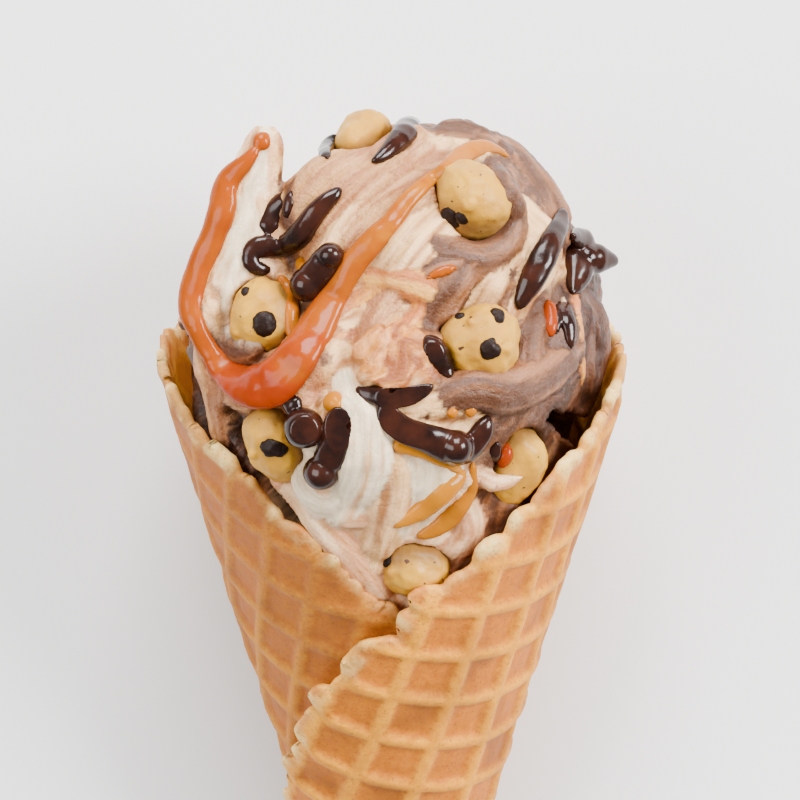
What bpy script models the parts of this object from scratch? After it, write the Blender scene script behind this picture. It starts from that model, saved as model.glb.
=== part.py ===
"""A rolled waffle cone heaped with ice cream and cookie dough, lying on its back.

The waffle is a flat disc rolled about a point on its edge, so its two flaps cross
at the front. The heap is one solid: a filling inside the cone, a round scoop on
top of it, the folds that the spatula left, a tall fin at the left and the fudge and
caramel that run over it. Seven chunks of cookie dough sit in sockets of that solid.

Shapes are worked out with the cone standing on its tip (x to the right, y away from
the viewer, z from the tip to the mouth) and are then laid down: the back of the cone
rests on Z = 0, the mouth points to +Y and the front faces +Z.
"""

import math
import random

import bmesh
import bpy
from mathutils import Matrix, Vector, noise
from mathutils.bvhtree import BVHTree
from mathutils.geometry import delaunay_2d_cdt

MM = 0.001

# Waffle sheet, flat
HALF_ANGLE = math.radians(15.7)
DISC_RADIUS = 90 * MM
MOUTH_SLANT = 160.5 * MM
POCKET_FACE = 0.9 * MM
INNER_FACE = -0.9 * MM
RIDGE_HEIGHT = 0.8 * MM
RIDGE_HALF = 2.1 * MM
GRID_PITCH = 10.4 * MM
GRID_ANGLE = math.radians(58)
GRID_PHASES = (0.43, 0.13)
RIM_WAVE = 2.6 * MM
RIM_WAVELENGTH = 9 * MM
RIM_STEP = 4.8 * MM
RIM_MARGIN = 1.3 * MM
RIM_HALF_EDGE = 0.5 * MM

# Waffle sheet, rolled
SPIRAL_STEP = 3.4 * MM
SEAM_TURN = math.radians(-2)
TIP_CUT = 22 * MM
TIP_CUT_STEPS = 16
FLAP_END = math.radians(304)
OUTER_FINE_WITHIN = 60 * MM
INNER_FINE_WITHIN = 110 * MM
NUB_ALONG = (0.3 * MM, 1.2 * MM, 3 * MM, 6 * MM, 14 * MM, 25 * MM)
NUB_ROUND = 6 * MM
NUB_SIDES = 28

# Heap of ice cream: the centre and half sizes of its rounded masses, in mm
MASSES = (
    ((6, 0, 171), (28.5, 28, 28)),
    ((2, 0, 155), (37.5, 37.5, 27)),
    ((26, 2, 166), (14.5, 14, 15)),
    ((-19, -5, 163), (17, 17, 14)),
)
HEAP_CENTRE = Vector((2 * MM, 0, 160 * MM))
HEAP_REACH = 60 * MM
NECK_RADIUS = 37.5 * MM
NECK_TAPER = 0.06
FILL_GAP = 0.7 * MM
FILL_START = 34 * MM
FILL_END = 155 * MM
FILL_STEP = 8 * MM
FILL_SIDES = 36
HEAP_VOXEL = 1.0 * MM
HEAP_TRIANGLES = 2500
RIM_CLEARANCE = 0.9 * MM

# Fin at the left, in mm: centre, half width and half depth of each section
FIN_SECTIONS = (
    ((-23.5, -12.0, 160.0), 12.5, 8.0),
    ((-26.5, -14.0, 172.0), 10.6, 6.5),
    ((-26.2, -12.0, 181.0), 7.6, 5.0),
    ((-24.8, -9.5, 190.0), 6.0, 4.2),
    ((-22.8, -7.5, 197.5), 4.4, 3.2),
    ((-21.8, -6.5, 201.5), 2.6, 2.2),
)
FIN_SIDES = 20

# Folds: bearing from the viewer and height angle of each point, in degrees, radius and lift in mm
FOLDS = (
    (((16, 76), (-27, 62), (-39, 42)), 7.5, -5.3),
    (((-7, 61), (-25, 48), (-33, 30)), 6.5, -4.4),
    (((27, 52), (10, 46), (-1, 36)), 6.0, -4.0),
    (((34, 40), (16, 37), (1, 26)), 6.0, -4.2),
    (((83, 50), (68, 40), (48, 25)), 6.5, -5.0),
    (((82, 11), (65, 7), (63, -7)), 6.5, -4.8),
    (((-9, 13), (1, 7), (10, 13)), 5.0, -3.0),
    (((9, -4), (20, -1), (37, 0), (70, -2)), 4.5, -2.8),
    (((-26, 4), (-40, -4), (-58, -5), (-72, 4)), 5.0, -3.2),
    (((-14, -1), (-9, -15), (-15, -34)), 4.6, -2.8),
    (((-2, -9), (-4, -26), (-11, -46)), 4.4, -2.8),
    (((9, -22), (18, -28), (10, -39)), 4.6, -2.6),
    (((-29, -25), (-25, -41), (-14, -53)), 4.2, -3.0),
    (((33, -34), (35, -46), (22, -53)), 4.4, -3.0),
    (((52, -9), (45, -20)), 4.6, -3.0),
    (((150, 66), (122, 40), (112, 8)), 7.0, -4.8),
    (((-130, 62), (-112, 40), (-104, 12)), 7.0, -4.8),
    (((176, 48), (150, 26), (160, 2)), 7.0, -4.6),
    (((-160, 44), (-166, 20), (-140, 0)), 7.0, -4.6),
    (((98, 20), (92, 0), (112, -8)), 6.0, -4.4),
)
FOLD_STEP = 2.5 * MM

# Fudge and caramel: points as for the folds, half width and half thickness in mm, lift in mm
FUDGE = (
    (((-37, 62), (-40, 53), (-46, 45), (-57, 40)), 1.9, 1.3, 0.8),
    (((-30, 39), (-38, 31)), 2.7, 1.8, 0.8),
    (((60, 84), (-9, 82), (-20, 74)), 1.8, 1.4, 1.0),
    (((-95, 71), (-84, 65)), 1.6, 1.3, 0.8),
    (((86, 40), (68, 34), (54, 27), (46, 20)), 1.9, 1.3, 0.9),
    (((86, 33), (92, 23)), 3.2, 1.9, 2.2),
    (((-5, -7), (6, -10), (16, -15), (25, -10)), 2.5, 1.5, 1.0),
    (((-4, 0), (3, 0), (12, 4)), 1.9, 1.2, 1.0),
    (((-15, -2), (-17, -14), (-21, -25)), 2.4, 1.6, 1.2),
    (((-27, -3), (-23, -12)), 3.2, 2.0, 1.3),
)
CARAMEL = (
    (((83, 64), (50, 67), (27, 63), (1, 54), (-16, 41), (-24, 21), (-30, 8)), 2.2, 1.1, 0.7),
    (((-22, 12), (-30, 2), (-39, -3), (-51, -5), (-64, -1), (-74, 6)), 3.6, 1.6, 1.2),
    (((21, -26), (12, -32), (1, -37)), 1.6, 1.0, 0.7),
    (((2, -15), (7, -17), (13, -21)), 1.4, 1.0, 0.7),
)
RIBBON_SIDES = 6
RIBBON_STEP = 5.5 * MM
END_TAPER = 0.45
END_REACH = 0.7

# Cookie dough: name, (bearing, height angle), half sizes (across, up, deep) and lift in mm, roll, chips.
# A chip is (across, up, half size) in mm on the chunk's outer side.
DOUGH = (
    ("dough_top", (-104, 80), (5.0, 7.2, 4.6), 0.0, 76, ()),
    ("dough_upper_right", (37, 54), (6.2, 7.6, 6.6), 0.9, 8, ((-4.4, -2.4, 1.7),)),
    ("dough_left", (-50, 17), (6.2, 6.9, 6.2), 0.6, -12, ((0.3, -2.8, 1.9), (-1.8, 3.2, 1.0))),
    ("dough_right", (27, 13), (7.9, 7.2, 6.4), 0.2, 0, ((1.8, -1.2, 1.7), (3.0, 4.6, 1.0), (-3.4, 4.4, 1.1))),
    ("dough_lower_left", (-37, -17), (5.2, 7.6, 5.4), -0.4, 10, ((-1.2, 0.4, 1.3),)),
    ("dough_lower_right", (40, -28), (5.2, 8.2, 5.8), -0.9, -6, ()),
    ("dough_bottom", (5, -51), (6.3, 6.1, 5.4), -1.9, 0, ((-4.2, 2.2, 1.4),)),
)
DOUGH_TRIANGLES = 160
DOUGH_LUMP = 1.1 * MM
DOUGH_LUMP_SIZE = 7 * MM
CHIP_SINK = 0.45
SOCKET_GAP = 0.35 * MM

# Laying down: the tip's place, and how much of the back is cut away for the resting face
TIP_X = -0.8 * MM
TIP_Y = -97.7 * MM
REST_CUT = 1.15 * MM
CUT_REACH = 300 * MM

SEED = 11

COLOURS = {
    "waffle": ((0.72, 0.42, 0.17), 0.75),
    "ice_cream": ((0.55, 0.34, 0.24), 0.45),
    "dough": ((0.72, 0.53, 0.27), 0.6),
}


def cleared_scene():
    """Removes every object of the open scene."""
    for obj in list(bpy.data.objects):
        bpy.data.objects.remove(obj)


def material(name):
    """A Principled material with the named food's colour and roughness."""
    mat = bpy.data.materials.get(name)
    if mat is None:
        colour, roughness = COLOURS[name]
        mat = bpy.data.materials.new(name)
        mat.use_nodes = True
        shader = mat.node_tree.nodes["Principled BSDF"]
        shader.inputs["Base Color"].default_value = (*colour, 1)
        shader.inputs["Roughness"].default_value = roughness
        shader.inputs["Metallic"].default_value = 0
        mat.diffuse_color = (*colour, 1)
    return mat


def object_from(bm, name, food):
    """Turns a bmesh into a linked object whose faces point out."""
    bmesh.ops.recalc_face_normals(bm, faces=bm.faces)
    if bm.calc_volume(signed=True) < 0:
        bmesh.ops.reverse_faces(bm, faces=bm.faces)
    mesh = bpy.data.meshes.new(name)
    bm.to_mesh(mesh)
    bm.free()
    obj = bpy.data.objects.new(name, mesh)
    obj.data.materials.append(material(food))
    bpy.context.scene.collection.objects.link(obj)
    return obj


def applied(obj):
    """Applies the object's modifiers to its mesh."""
    bpy.context.view_layer.update()
    evaluated = obj.evaluated_get(bpy.context.evaluated_depsgraph_get())
    mesh = bpy.data.meshes.new_from_object(evaluated)
    obj.modifiers.clear()
    obj.data = mesh
    return obj


def boolean(obj, operation, other):
    """Joins to or cuts from an object another object, or all those of a collection, and removes them."""
    cut = obj.modifiers.new("cut", "BOOLEAN")
    cut.operation = operation
    cut.solver = "EXACT"
    if isinstance(other, bpy.types.Collection):
        cut.operand_type = "COLLECTION"
        cut.collection = other
        used = list(other.objects)
    else:
        cut.object = other
        used = [other]
    applied(obj)
    for piece in used:
        bpy.data.objects.remove(piece)
    return obj


def decimated(obj, triangles):
    """Reduces a closed mesh to about the given number of triangles."""
    obj.data.calc_loop_triangles()
    now = len(obj.data.loop_triangles)
    if now > triangles:
        reduce = obj.modifiers.new("reduce", "DECIMATE")
        reduce.ratio = triangles / now
        reduce.use_collapse_triangulate = True
        applied(obj)
    return obj


def without_scraps(obj):
    """Keeps the largest of a mesh's separate bodies."""
    bm = bmesh.new()
    bm.from_mesh(obj.data)
    bodies = []
    left = set(bm.verts)
    while left:
        found = [left.pop()]
        for vert in found:
            near = [edge.other_vert(vert) for edge in vert.link_edges]
            found.extend(v for v in near if v in left)
            left.difference_update(near)
        bodies.append(found)
    largest = max(bodies, key=len)
    for body in bodies:
        if body is not largest:
            bmesh.ops.delete(bm, geom=body, context="VERTS")
    bm.to_mesh(obj.data)
    bm.free()


def smooth(obj):
    """Shades a food smooth, with its steep edges kept."""
    obj.data.shade_smooth()
    obj.data.set_sharp_from_angle(angle=math.radians(50))


def resampled(points, step):
    """Points about `step` apart on a smooth curve through the given ones."""
    out = []
    last = len(points) - 1
    for i in range(last):
        before = points[max(i - 1, 0)]
        start, end = points[i], points[i + 1]
        after = points[min(i + 2, last)]
        count = max(1, round((end - start).length / step))
        for k in range(count):
            t = k / count
            leave = (end - before) * 0.5
            arrive = (after - start) * 0.5
            out.append(start * (2 * t**3 - 3 * t**2 + 1) + leave * (t**3 - 2 * t**2 + t)
                       + end * (3 * t**2 - 2 * t**3) + arrive * (t**3 - t**2))
    out.append(points[last].copy())
    return out


def add_loft(bm, rings):
    """Joins rings of points into one closed skin with flat ends."""
    loops = [[bm.verts.new(point) for point in ring] for ring in rings]
    sides = len(loops[0])
    for lower, upper in zip(loops, loops[1:]):
        for k in range(sides):
            bm.faces.new((lower[k], lower[(k + 1) % sides], upper[(k + 1) % sides], upper[k]))
    bm.faces.new(loops[0][::-1])
    bm.faces.new(loops[-1])


# Waffle cone


def rolled(flat_x, flat_y, height):
    """The place in the cone of a point of the flat sheet, `height` off its middle."""
    slant = math.hypot(flat_x, flat_y)
    turn = math.atan2(flat_x, flat_y) / math.sin(HALF_ANGLE) + SEAM_TURN
    off = SPIRAL_STEP * turn / math.tau + height
    radius = slant * math.sin(HALF_ANGLE) + off * math.cos(HALF_ANGLE)
    along = slant * math.cos(HALF_ANGLE) - off * math.sin(HALF_ANGLE)
    return Vector((radius * math.sin(turn), radius * math.cos(turn), along))


def disc_edge(angle):
    """A point of the flat disc's wavy edge; the cone's tip is at the flat origin."""
    wave = noise.noise(Vector((math.sin(angle), math.cos(angle), 0)) * (DISC_RADIUS / RIM_WAVELENGTH))
    radius = DISC_RADIUS + RIM_WAVE * wave
    point = Vector((radius * math.sin(angle), DISC_RADIUS + radius * math.cos(angle)))
    return point * min(1.0, (MOUTH_SLANT + RIM_WAVE * wave) / point.length)


def flat_outline():
    """The flat sheet's outline: the wavy disc edge and the short cut round the tip."""
    count = round(math.tau * DISC_RADIUS / RIM_STEP)
    edge = [disc_edge(math.tau * k / count - math.pi) for k in range(1, count)]
    edge = [point for point in edge if point.length > TIP_CUT + RIM_MARGIN]
    first = math.atan2(edge[0].x, edge[0].y)
    last = math.atan2(edge[-1].x, edge[-1].y)
    bearings = [last + (first - last) * k / TIP_CUT_STEPS for k in range(TIP_CUT_STEPS + 1)]
    return edge + [Vector((TIP_CUT * math.sin(b), TIP_CUT * math.cos(b))) for b in bearings]


def grid_axes():
    """The waffle grid's two directions on the flat sheet."""
    return (Vector((math.cos(GRID_ANGLE), math.sin(GRID_ANGLE))),
            Vector((-math.sin(GRID_ANGLE), math.cos(GRID_ANGLE))))


def ridge_height(point):
    """Height of the waffle's ridges over its pockets at a point of the flat sheet."""
    height = 0.0
    for axis, phase in zip(grid_axes(), GRID_PHASES):
        cells = point.dot(axis) / GRID_PITCH - phase
        distance = abs(cells - round(cells)) * GRID_PITCH
        height = max(height, 1 - distance / RIDGE_HALF)
    return RIDGE_HEIGHT * height


def grid_lines(phase, offsets):
    """Values of the grid lines that cross the disc, each ridge with lines at the given offsets."""
    reach = math.ceil(2 * DISC_RADIUS / GRID_PITCH) + 1
    return [(cell + phase) * GRID_PITCH + offset for cell in range(-reach, reach) for offset in offsets]


def clear_inside(point, outline):
    """Whether a flat point lies inside the outline and clear of it."""
    inside = False
    for start, end in zip(outline, outline[1:] + outline[:1]):
        along = end - start
        t = max(0.0, min(1.0, (point - start).dot(along) / along.length_squared))
        if (point - start - along * t).length < RIM_MARGIN:
            return False
        if (start.y > point.y) != (end.y > point.y):
            crossing = start.x + (point.y - start.y) * along.x / along.y
            inside ^= point.x < crossing
    return inside


def sheet_points(outline, offsets, fine_offsets, fine_within):
    """Grid points inside the outline, with extra ones where the roll is tight."""
    axis_a, axis_b = grid_axes()
    coarse = [set(round(v, 7) for v in grid_lines(phase, offsets)) for phase in GRID_PHASES]
    fine = [set(round(v, 7) for v in grid_lines(phase, fine_offsets)) for phase in GRID_PHASES]
    points = []
    for a in sorted(fine[0]):
        for b in sorted(fine[1]):
            point = axis_a * a + axis_b * b
            wanted = point.length < fine_within or (a in coarse[0] and b in coarse[1])
            if wanted and point.length < 2 * DISC_RADIUS and clear_inside(point, outline):
                points.append(point)
    return points


def triangulated(outline, points):
    """Flat points and triangles of the sheet; the outline's points come first."""
    count = len(outline)
    edges = [(k, (k + 1) % count) for k in range(count)]
    result = delaunay_2d_cdt(outline + points, edges, [list(range(count))], 1, 1e-7)
    return result[0], result[2]


def closed_tip():
    """The solid tip, where the rolled layers are pressed together."""
    bm = bmesh.new()
    rings = []
    for along in NUB_ALONG:
        rounding = math.sqrt(1 - max(0.0, 1 - along / NUB_ROUND)**2)
        ring = []
        for side in range(NUB_SIDES):
            turn = math.tau * side / NUB_SIDES
            step_down = (math.tau - turn) / (math.tau - FLAP_END)
            off = SPIRAL_STEP * min(turn, FLAP_END * step_down) / math.tau + POCKET_FACE
            radius = (along * math.tan(HALF_ANGLE) + off / math.cos(HALF_ANGLE)) * rounding
            ring.append(Vector((radius * math.sin(turn), radius * math.cos(turn), along)))
        rings.append(ring)
    add_loft(bm, rings)
    return object_from(bm, "closed_tip", "waffle")


def waffle_cone():
    """The rolled sheet with its closed tip and its small resting face."""
    outline = flat_outline()
    half = GRID_PITCH / 2
    ridge = (-RIDGE_HALF, 0, RIDGE_HALF)
    outer = triangulated(outline, sheet_points(outline, ridge, (*ridge, half), OUTER_FINE_WITHIN))
    inner = triangulated(outline, sheet_points(outline, (0,), (0, half), INNER_FINE_WITHIN))
    bm = bmesh.new()
    count = len(outline)
    skins = []
    for side, (points, triangles) in enumerate((outer, inner)):
        verts = []
        for k, point in enumerate(points):
            if side == 0:
                height = RIM_HALF_EDGE if k < count else POCKET_FACE + ridge_height(point)
            else:
                height = -RIM_HALF_EDGE if k < count else INNER_FACE
            verts.append(bm.verts.new(rolled(point.x, point.y, height)))
        for triangle in triangles:
            bm.faces.new([verts[k] for k in (triangle if side == 0 else triangle[::-1])])
        skins.append(verts)
    for k in range(count):
        following = (k + 1) % count
        bm.faces.new((skins[0][k], skins[1][k], skins[1][following], skins[0][following]))
    cone = object_from(bm, "waffle_cone", "waffle")

    boolean(cone, "UNION", closed_tip())
    lay_down(cone)
    below = bmesh.new()
    bmesh.ops.create_cube(below, size=CUT_REACH, matrix=Matrix.Translation((0, 0, -CUT_REACH / 2)))
    boolean(cone, "DIFFERENCE", object_from(below, "below", "waffle"))
    return cone


# Ice cream


def scoop_direction(bearing, height_angle):
    """Direction from the heap's centre, by degrees round from the viewer and up from level."""
    bearing, height_angle = math.radians(bearing), math.radians(height_angle)
    level = math.cos(height_angle)
    return Vector((math.sin(bearing) * level, -math.cos(bearing) * level, math.sin(height_angle)))


def on_skin(skin, bearing, height_angle, lift=0.0):
    """A point over the heap's skin, and the outward direction there."""
    out = scoop_direction(bearing, height_angle)
    below = max(0.0, -math.radians(height_angle))
    normal = (out * math.cos(below) + Vector((out.x, out.y, 0)) * math.sin(below)).normalized()
    hit = skin.ray_cast(HEAP_CENTRE + out * HEAP_REACH, -out, HEAP_REACH)[0]
    return hit + normal * lift, normal


def wall_radius(point, gap):
    """Largest radius at a point's height and bearing that stays clear of the waffle."""
    turn_left = math.atan2(-point.x, point.y) % math.tau
    layers = min(turn_left, FLAP_END * (math.tau - turn_left) / (math.tau - FLAP_END))
    inset = SPIRAL_STEP * layers / math.tau - INNER_FACE + gap
    return point.z * math.tan(HALF_ANGLE) - inset / math.cos(HALF_ANGLE)


def add_filling(bm):
    """The filling inside the cone, clear of its wall all round."""
    rings = []
    count = round((FILL_END - FILL_START) / FILL_STEP)
    for k in range(count + 1):
        along = FILL_START + (FILL_END - FILL_START) * k / count
        ring = []
        for side in range(FILL_SIDES):
            angle = math.tau * side / FILL_SIDES
            out = Vector((math.sin(angle), math.cos(angle), 0))
            neck = NECK_RADIUS - NECK_TAPER * (FILL_END - along)
            radius = min(neck, wall_radius(out + Vector((0, 0, along)), FILL_GAP))
            ring.append(out * radius + Vector((0, 0, along)))
        rings.append(ring)
    add_loft(bm, rings)


def add_ellipsoid(bm, centre, half_sizes):
    """A rounded mass of ice cream."""
    place = Matrix.Translation(centre) @ Matrix.Diagonal((*half_sizes, 1))
    bmesh.ops.create_icosphere(bm, subdivisions=3, radius=1, matrix=place)


def skin_tree(bm):
    """A search tree of a bmesh's faces."""
    bm.normal_update()
    return BVHTree.FromBMesh(bm)


def add_fin(bm):
    """The tall flat fin at the left."""
    rings = []
    for centre, half_width, half_depth in FIN_SECTIONS:
        ring = []
        for side in range(FIN_SIDES):
            angle = math.tau * side / FIN_SIDES
            ring.append((Vector(centre) + Vector((half_width * math.cos(angle),
                                                  half_depth * math.sin(angle), 0))) * MM)
        rings.append(ring)
    add_loft(bm, rings)


def ice_cream_core():
    """Filling, masses, folds and fin as one rounded solid, clear of the waffle."""
    bm = bmesh.new()
    add_filling(bm)
    for centre, half_sizes in MASSES:
        add_ellipsoid(bm, Vector(centre) * MM, [half * MM for half in half_sizes])
    plain = skin_tree(bm)
    for points, radius, lift in FOLDS:
        path = [on_skin(plain, bearing, height, lift * MM)[0] for bearing, height in points]
        path = resampled(path, FOLD_STEP)
        for k, centre in enumerate(path):
            taper = 0.75 + 0.25 * math.sin(math.pi * k / (len(path) - 1))
            add_ellipsoid(bm, centre, (radius * taper * MM,) * 3)
    add_fin(bm)
    core = object_from(bm, "ice_cream", "ice_cream")
    remesh = core.modifiers.new("skin", "REMESH")
    remesh.mode = "VOXEL"
    remesh.voxel_size = HEAP_VOXEL
    soften = core.modifiers.new("soften", "SMOOTH")
    soften.factor = 0.5
    soften.iterations = 2
    applied(core)
    decimated(core, HEAP_TRIANGLES)
    for vert in core.data.vertices:
        radius = math.hypot(vert.co.x, vert.co.y)
        most = wall_radius(vert.co, RIM_CLEARANCE)
        if radius > most and vert.co.z < MOUTH_SLANT:
            vert.co.x *= most / radius
            vert.co.y *= most / radius
    return core


def ribbon(skin, name, points, half_width, half_thickness, lift):
    """A flat-sided ribbon of sauce that follows the heap's skin."""
    bearings = resampled([Vector(point) for point in points], math.degrees(RIBBON_STEP / NECK_RADIUS))
    places = [on_skin(skin, *bearing, lift * MM) for bearing in bearings]
    last = len(places) - 1
    rings = []
    for k, (centre, normal) in enumerate(places):
        ahead = (places[min(k + 1, last)][0] - places[max(k - 1, 0)][0]).normalized()
        across = ahead.cross(normal).normalized()
        turns = [math.tau * side / RIBBON_SIDES for side in range(RIBBON_SIDES)]
        section = [(across * (half_width * math.cos(a)) + normal * (half_thickness * math.sin(a))) * MM
                   for a in turns]
        body = [centre + offset for offset in section]
        tip = ahead * (half_width * END_REACH * MM)
        if k == 0:
            rings.append([centre - tip + offset * END_TAPER for offset in section])
        rings.append(body)
        if k == last:
            rings.append([centre + tip + offset * END_TAPER for offset in section])
    bm = bmesh.new()
    add_loft(bm, rings)
    return object_from(bm, name, "ice_cream")


def dress_heap(heap, skin, dough_pieces):
    """Fuses the fudge and caramel onto the heap, and cuts a socket for each chunk of dough."""
    sauces = bpy.data.collections.new("sauces")
    bpy.context.scene.collection.children.link(sauces)
    for kind, rows in (("fudge", FUDGE), ("caramel", CARAMEL)):
        for k, row in enumerate(rows):
            piece = ribbon(skin, f"{kind}_{k}", *row)
            bpy.context.scene.collection.objects.unlink(piece)
            sauces.objects.link(piece)
    boolean(heap, "UNION", sauces)
    bpy.data.collections.remove(sauces)
    for piece in dough_pieces:
        grown = piece.copy()
        grown.data = piece.data.copy()
        for vert, source in zip(grown.data.vertices, piece.data.vertices):
            vert.co = source.co + source.normal * SOCKET_GAP
        bpy.context.scene.collection.objects.link(grown)
        boolean(heap, "DIFFERENCE", grown)
    without_scraps(heap)


# Cookie dough


def dough_chunk(skin, draw, name, place, half_sizes, lift, roll, chips):
    """A lumpy chunk of dough with its chocolate chips half sunk in its outer side."""
    centre, normal = on_skin(skin, *place, lift * MM)
    upward = (Vector((0, 0, 1)) - normal * normal.z).normalized()
    across = upward.cross(normal).normalized()
    frame = Matrix((across, upward, normal)).transposed() @ Matrix.Rotation(math.radians(roll), 3, "Z")
    seed = Vector([draw.uniform(-9, 9) for _ in range(3)])
    bm = bmesh.new()
    bmesh.ops.create_icosphere(bm, subdivisions=3, radius=1)
    for vert in bm.verts:
        point = Vector([c * half * MM for c, half in zip(vert.co, half_sizes)])
        place_in_lumps = point / DOUGH_LUMP_SIZE
        lump = noise.noise(place_in_lumps + seed) + noise.noise(place_in_lumps * 2 + seed) / 2
        vert.co = centre + frame @ (point + point.normalized() * (lump * DOUGH_LUMP))
    chunk = object_from(bm, name, "dough")
    decimated(chunk, DOUGH_TRIANGLES)
    for chip_across, chip_up, size in chips:
        depth = math.sqrt(max(0.05, 1 - (chip_across / half_sizes[0])**2 - (chip_up / half_sizes[1])**2))
        local = Vector((chip_across, chip_up, half_sizes[2] * depth - CHIP_SINK * size)) * MM
        chip = bmesh.new()
        bmesh.ops.create_icosphere(chip, subdivisions=1, radius=size * MM,
                                   matrix=Matrix.Translation(centre + frame @ local))
        boolean(chunk, "UNION", object_from(chip, "chip", "dough"))
    return chunk


def lay_down(obj):
    """Turns a finished piece, made standing on its tip, onto its back on Z = 0."""
    lift = POCKET_FACE + RIDGE_HEIGHT - REST_CUT
    onto_back = Matrix.Rotation(HALF_ANGLE - math.pi / 2, 4, "X")
    obj.data.transform(Matrix.Translation((TIP_X, TIP_Y, lift)) @ onto_back)
    obj.data.update()


def main():
    """Builds every piece."""
    cleared_scene()
    draw = random.Random(SEED)
    cone = waffle_cone()
    heap = ice_cream_core()
    bm = bmesh.new()
    bm.from_mesh(heap.data)
    skin = skin_tree(bm)
    bm.free()
    dough = [dough_chunk(skin, draw, *row) for row in DOUGH]
    dress_heap(heap, skin, dough)
    for piece in (heap, *dough):
        lay_down(piece)
    for piece in (cone, heap, *dough):
        smooth(piece)


main()
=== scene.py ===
"""The finish of a rolled waffle cone heaped with swirled ice cream, fudge, caramel and cookie dough.

Shapes are worked out in millimetres with the cone standing on its tip (x to the right, y away from
the viewer, z from the tip to the mouth). They are laid down on the cone's back, where the solids lie,
when they become pieces.
"""

import sys
import logging
import math
from dataclasses import dataclass, field
from enum import Enum
from itertools import product

import bmesh
import bpy
import numpy as np
from mathutils import Matrix, Vector, noise
from mathutils.bvhtree import BVHTree


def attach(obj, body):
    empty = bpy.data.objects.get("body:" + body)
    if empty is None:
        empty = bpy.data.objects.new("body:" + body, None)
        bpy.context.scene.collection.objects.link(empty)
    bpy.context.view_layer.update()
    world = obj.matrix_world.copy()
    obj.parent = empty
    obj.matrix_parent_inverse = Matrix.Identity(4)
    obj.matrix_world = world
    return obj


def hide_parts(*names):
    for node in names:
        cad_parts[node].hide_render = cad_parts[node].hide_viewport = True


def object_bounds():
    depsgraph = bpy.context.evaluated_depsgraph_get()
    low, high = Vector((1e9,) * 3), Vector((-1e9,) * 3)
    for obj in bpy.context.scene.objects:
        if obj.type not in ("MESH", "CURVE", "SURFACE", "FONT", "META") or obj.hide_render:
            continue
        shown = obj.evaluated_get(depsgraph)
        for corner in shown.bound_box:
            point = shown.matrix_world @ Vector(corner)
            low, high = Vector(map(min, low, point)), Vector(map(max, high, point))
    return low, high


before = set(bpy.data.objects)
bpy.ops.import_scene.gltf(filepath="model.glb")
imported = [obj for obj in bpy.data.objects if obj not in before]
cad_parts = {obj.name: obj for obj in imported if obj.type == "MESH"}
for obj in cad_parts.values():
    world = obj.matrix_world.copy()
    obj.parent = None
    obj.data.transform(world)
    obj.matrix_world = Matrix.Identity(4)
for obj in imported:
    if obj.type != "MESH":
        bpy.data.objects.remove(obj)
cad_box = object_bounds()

Array = np.ndarray
Row = tuple[float, float, float]
Route = tuple[Row, ...]

MM = 0.001
BODY = "root"
HALF_ANGLE = math.radians(15.7)
TIP = (-0.8, -97.7, 0.55)
HEAP_CENTRE = Vector((2.0, 0.0, 160.0))
HEAP_REACH = 60.0
VIEW_RISE = math.radians(20.9)
VIEW_MIDDLE = Vector((2.3, 0.0, 145.3))
VIEW_BACK = Vector((0.0, -math.cos(VIEW_RISE), math.sin(VIEW_RISE)))
VIEW_UP = Vector((0.0, math.sin(VIEW_RISE), math.cos(VIEW_RISE)))
VIEW_ROLL = math.radians(-0.4)
VIEW_DISTANCE = 800.0
PIXEL = 0.189
PHOTO_SIDE = 800

log = logging.getLogger("cone")


def laid(points: Array) -> Array:
    """Lays standing points down on the cone's back.

    Args:
        points: Points in mm in the standing frame.

    Returns:
        The points in mm in the frame of the solids.
    """
    sine, cosine = math.sin(HALF_ANGLE), math.cos(HALF_ANGLE)
    away = sine * points[:, 1] + cosine * points[:, 2]
    rise = sine * points[:, 2] - cosine * points[:, 1]
    return np.stack((points[:, 0], away, rise), axis=1) + TIP


def stood(points: Array) -> Array:
    """Stands laid points up on the cone's tip.

    Args:
        points: Points in mm in the frame of the solids.

    Returns:
        The points in mm in the standing frame.
    """
    sine, cosine = math.sin(HALF_ANGLE), math.cos(HALF_ANGLE)
    x, away, rise = (points - TIP).T
    return np.stack((x, sine * away - cosine * rise, cosine * away + sine * rise), axis=1)


def sight(column: float, row: float) -> Vector:
    """Finds the direction in which the viewer sees a place of the photograph.

    Args:
        column: Pixels from the photograph's left side.
        row: Pixels from its top.

    Returns:
        The direction from the viewer's eye.
    """
    right = Vector((1, 0, 0))
    across = (right * math.cos(VIEW_ROLL) + VIEW_UP * math.sin(VIEW_ROLL)) * (column - PHOTO_SIDE / 2)
    up = (VIEW_UP * math.cos(VIEW_ROLL) - right * math.sin(VIEW_ROLL)) * (PHOTO_SIDE / 2 - row)
    return ((across + up) * PIXEL - VIEW_BACK * VIEW_DISTANCE).normalized()


def linear(code: str) -> tuple[float, float, float]:
    """Turns a colour written as RRGGBB into linear light.

    Args:
        code: Six hexadecimal digits.

    Returns:
        Linear red, green and blue.
    """
    parts = [int(code[k:k + 2], 16) / 255 for k in (0, 2, 4)]
    return tuple(c / 12.92 if c <= 0.04045 else ((c + 0.055) / 1.055)**2.4 for c in parts)


def eased(value: Array, low: float, high: float) -> Array:
    """Goes smoothly from 0 at the low value to 1 at the high one.

    Args:
        value: Any values.
        low: Where the result is 0.
        high: Where the result is 1.

    Returns:
        Values from 0 to 1.
    """
    t = np.clip((value - low) / (high - low), 0, 1)
    return t * t * (3 - 2 * t)


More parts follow.
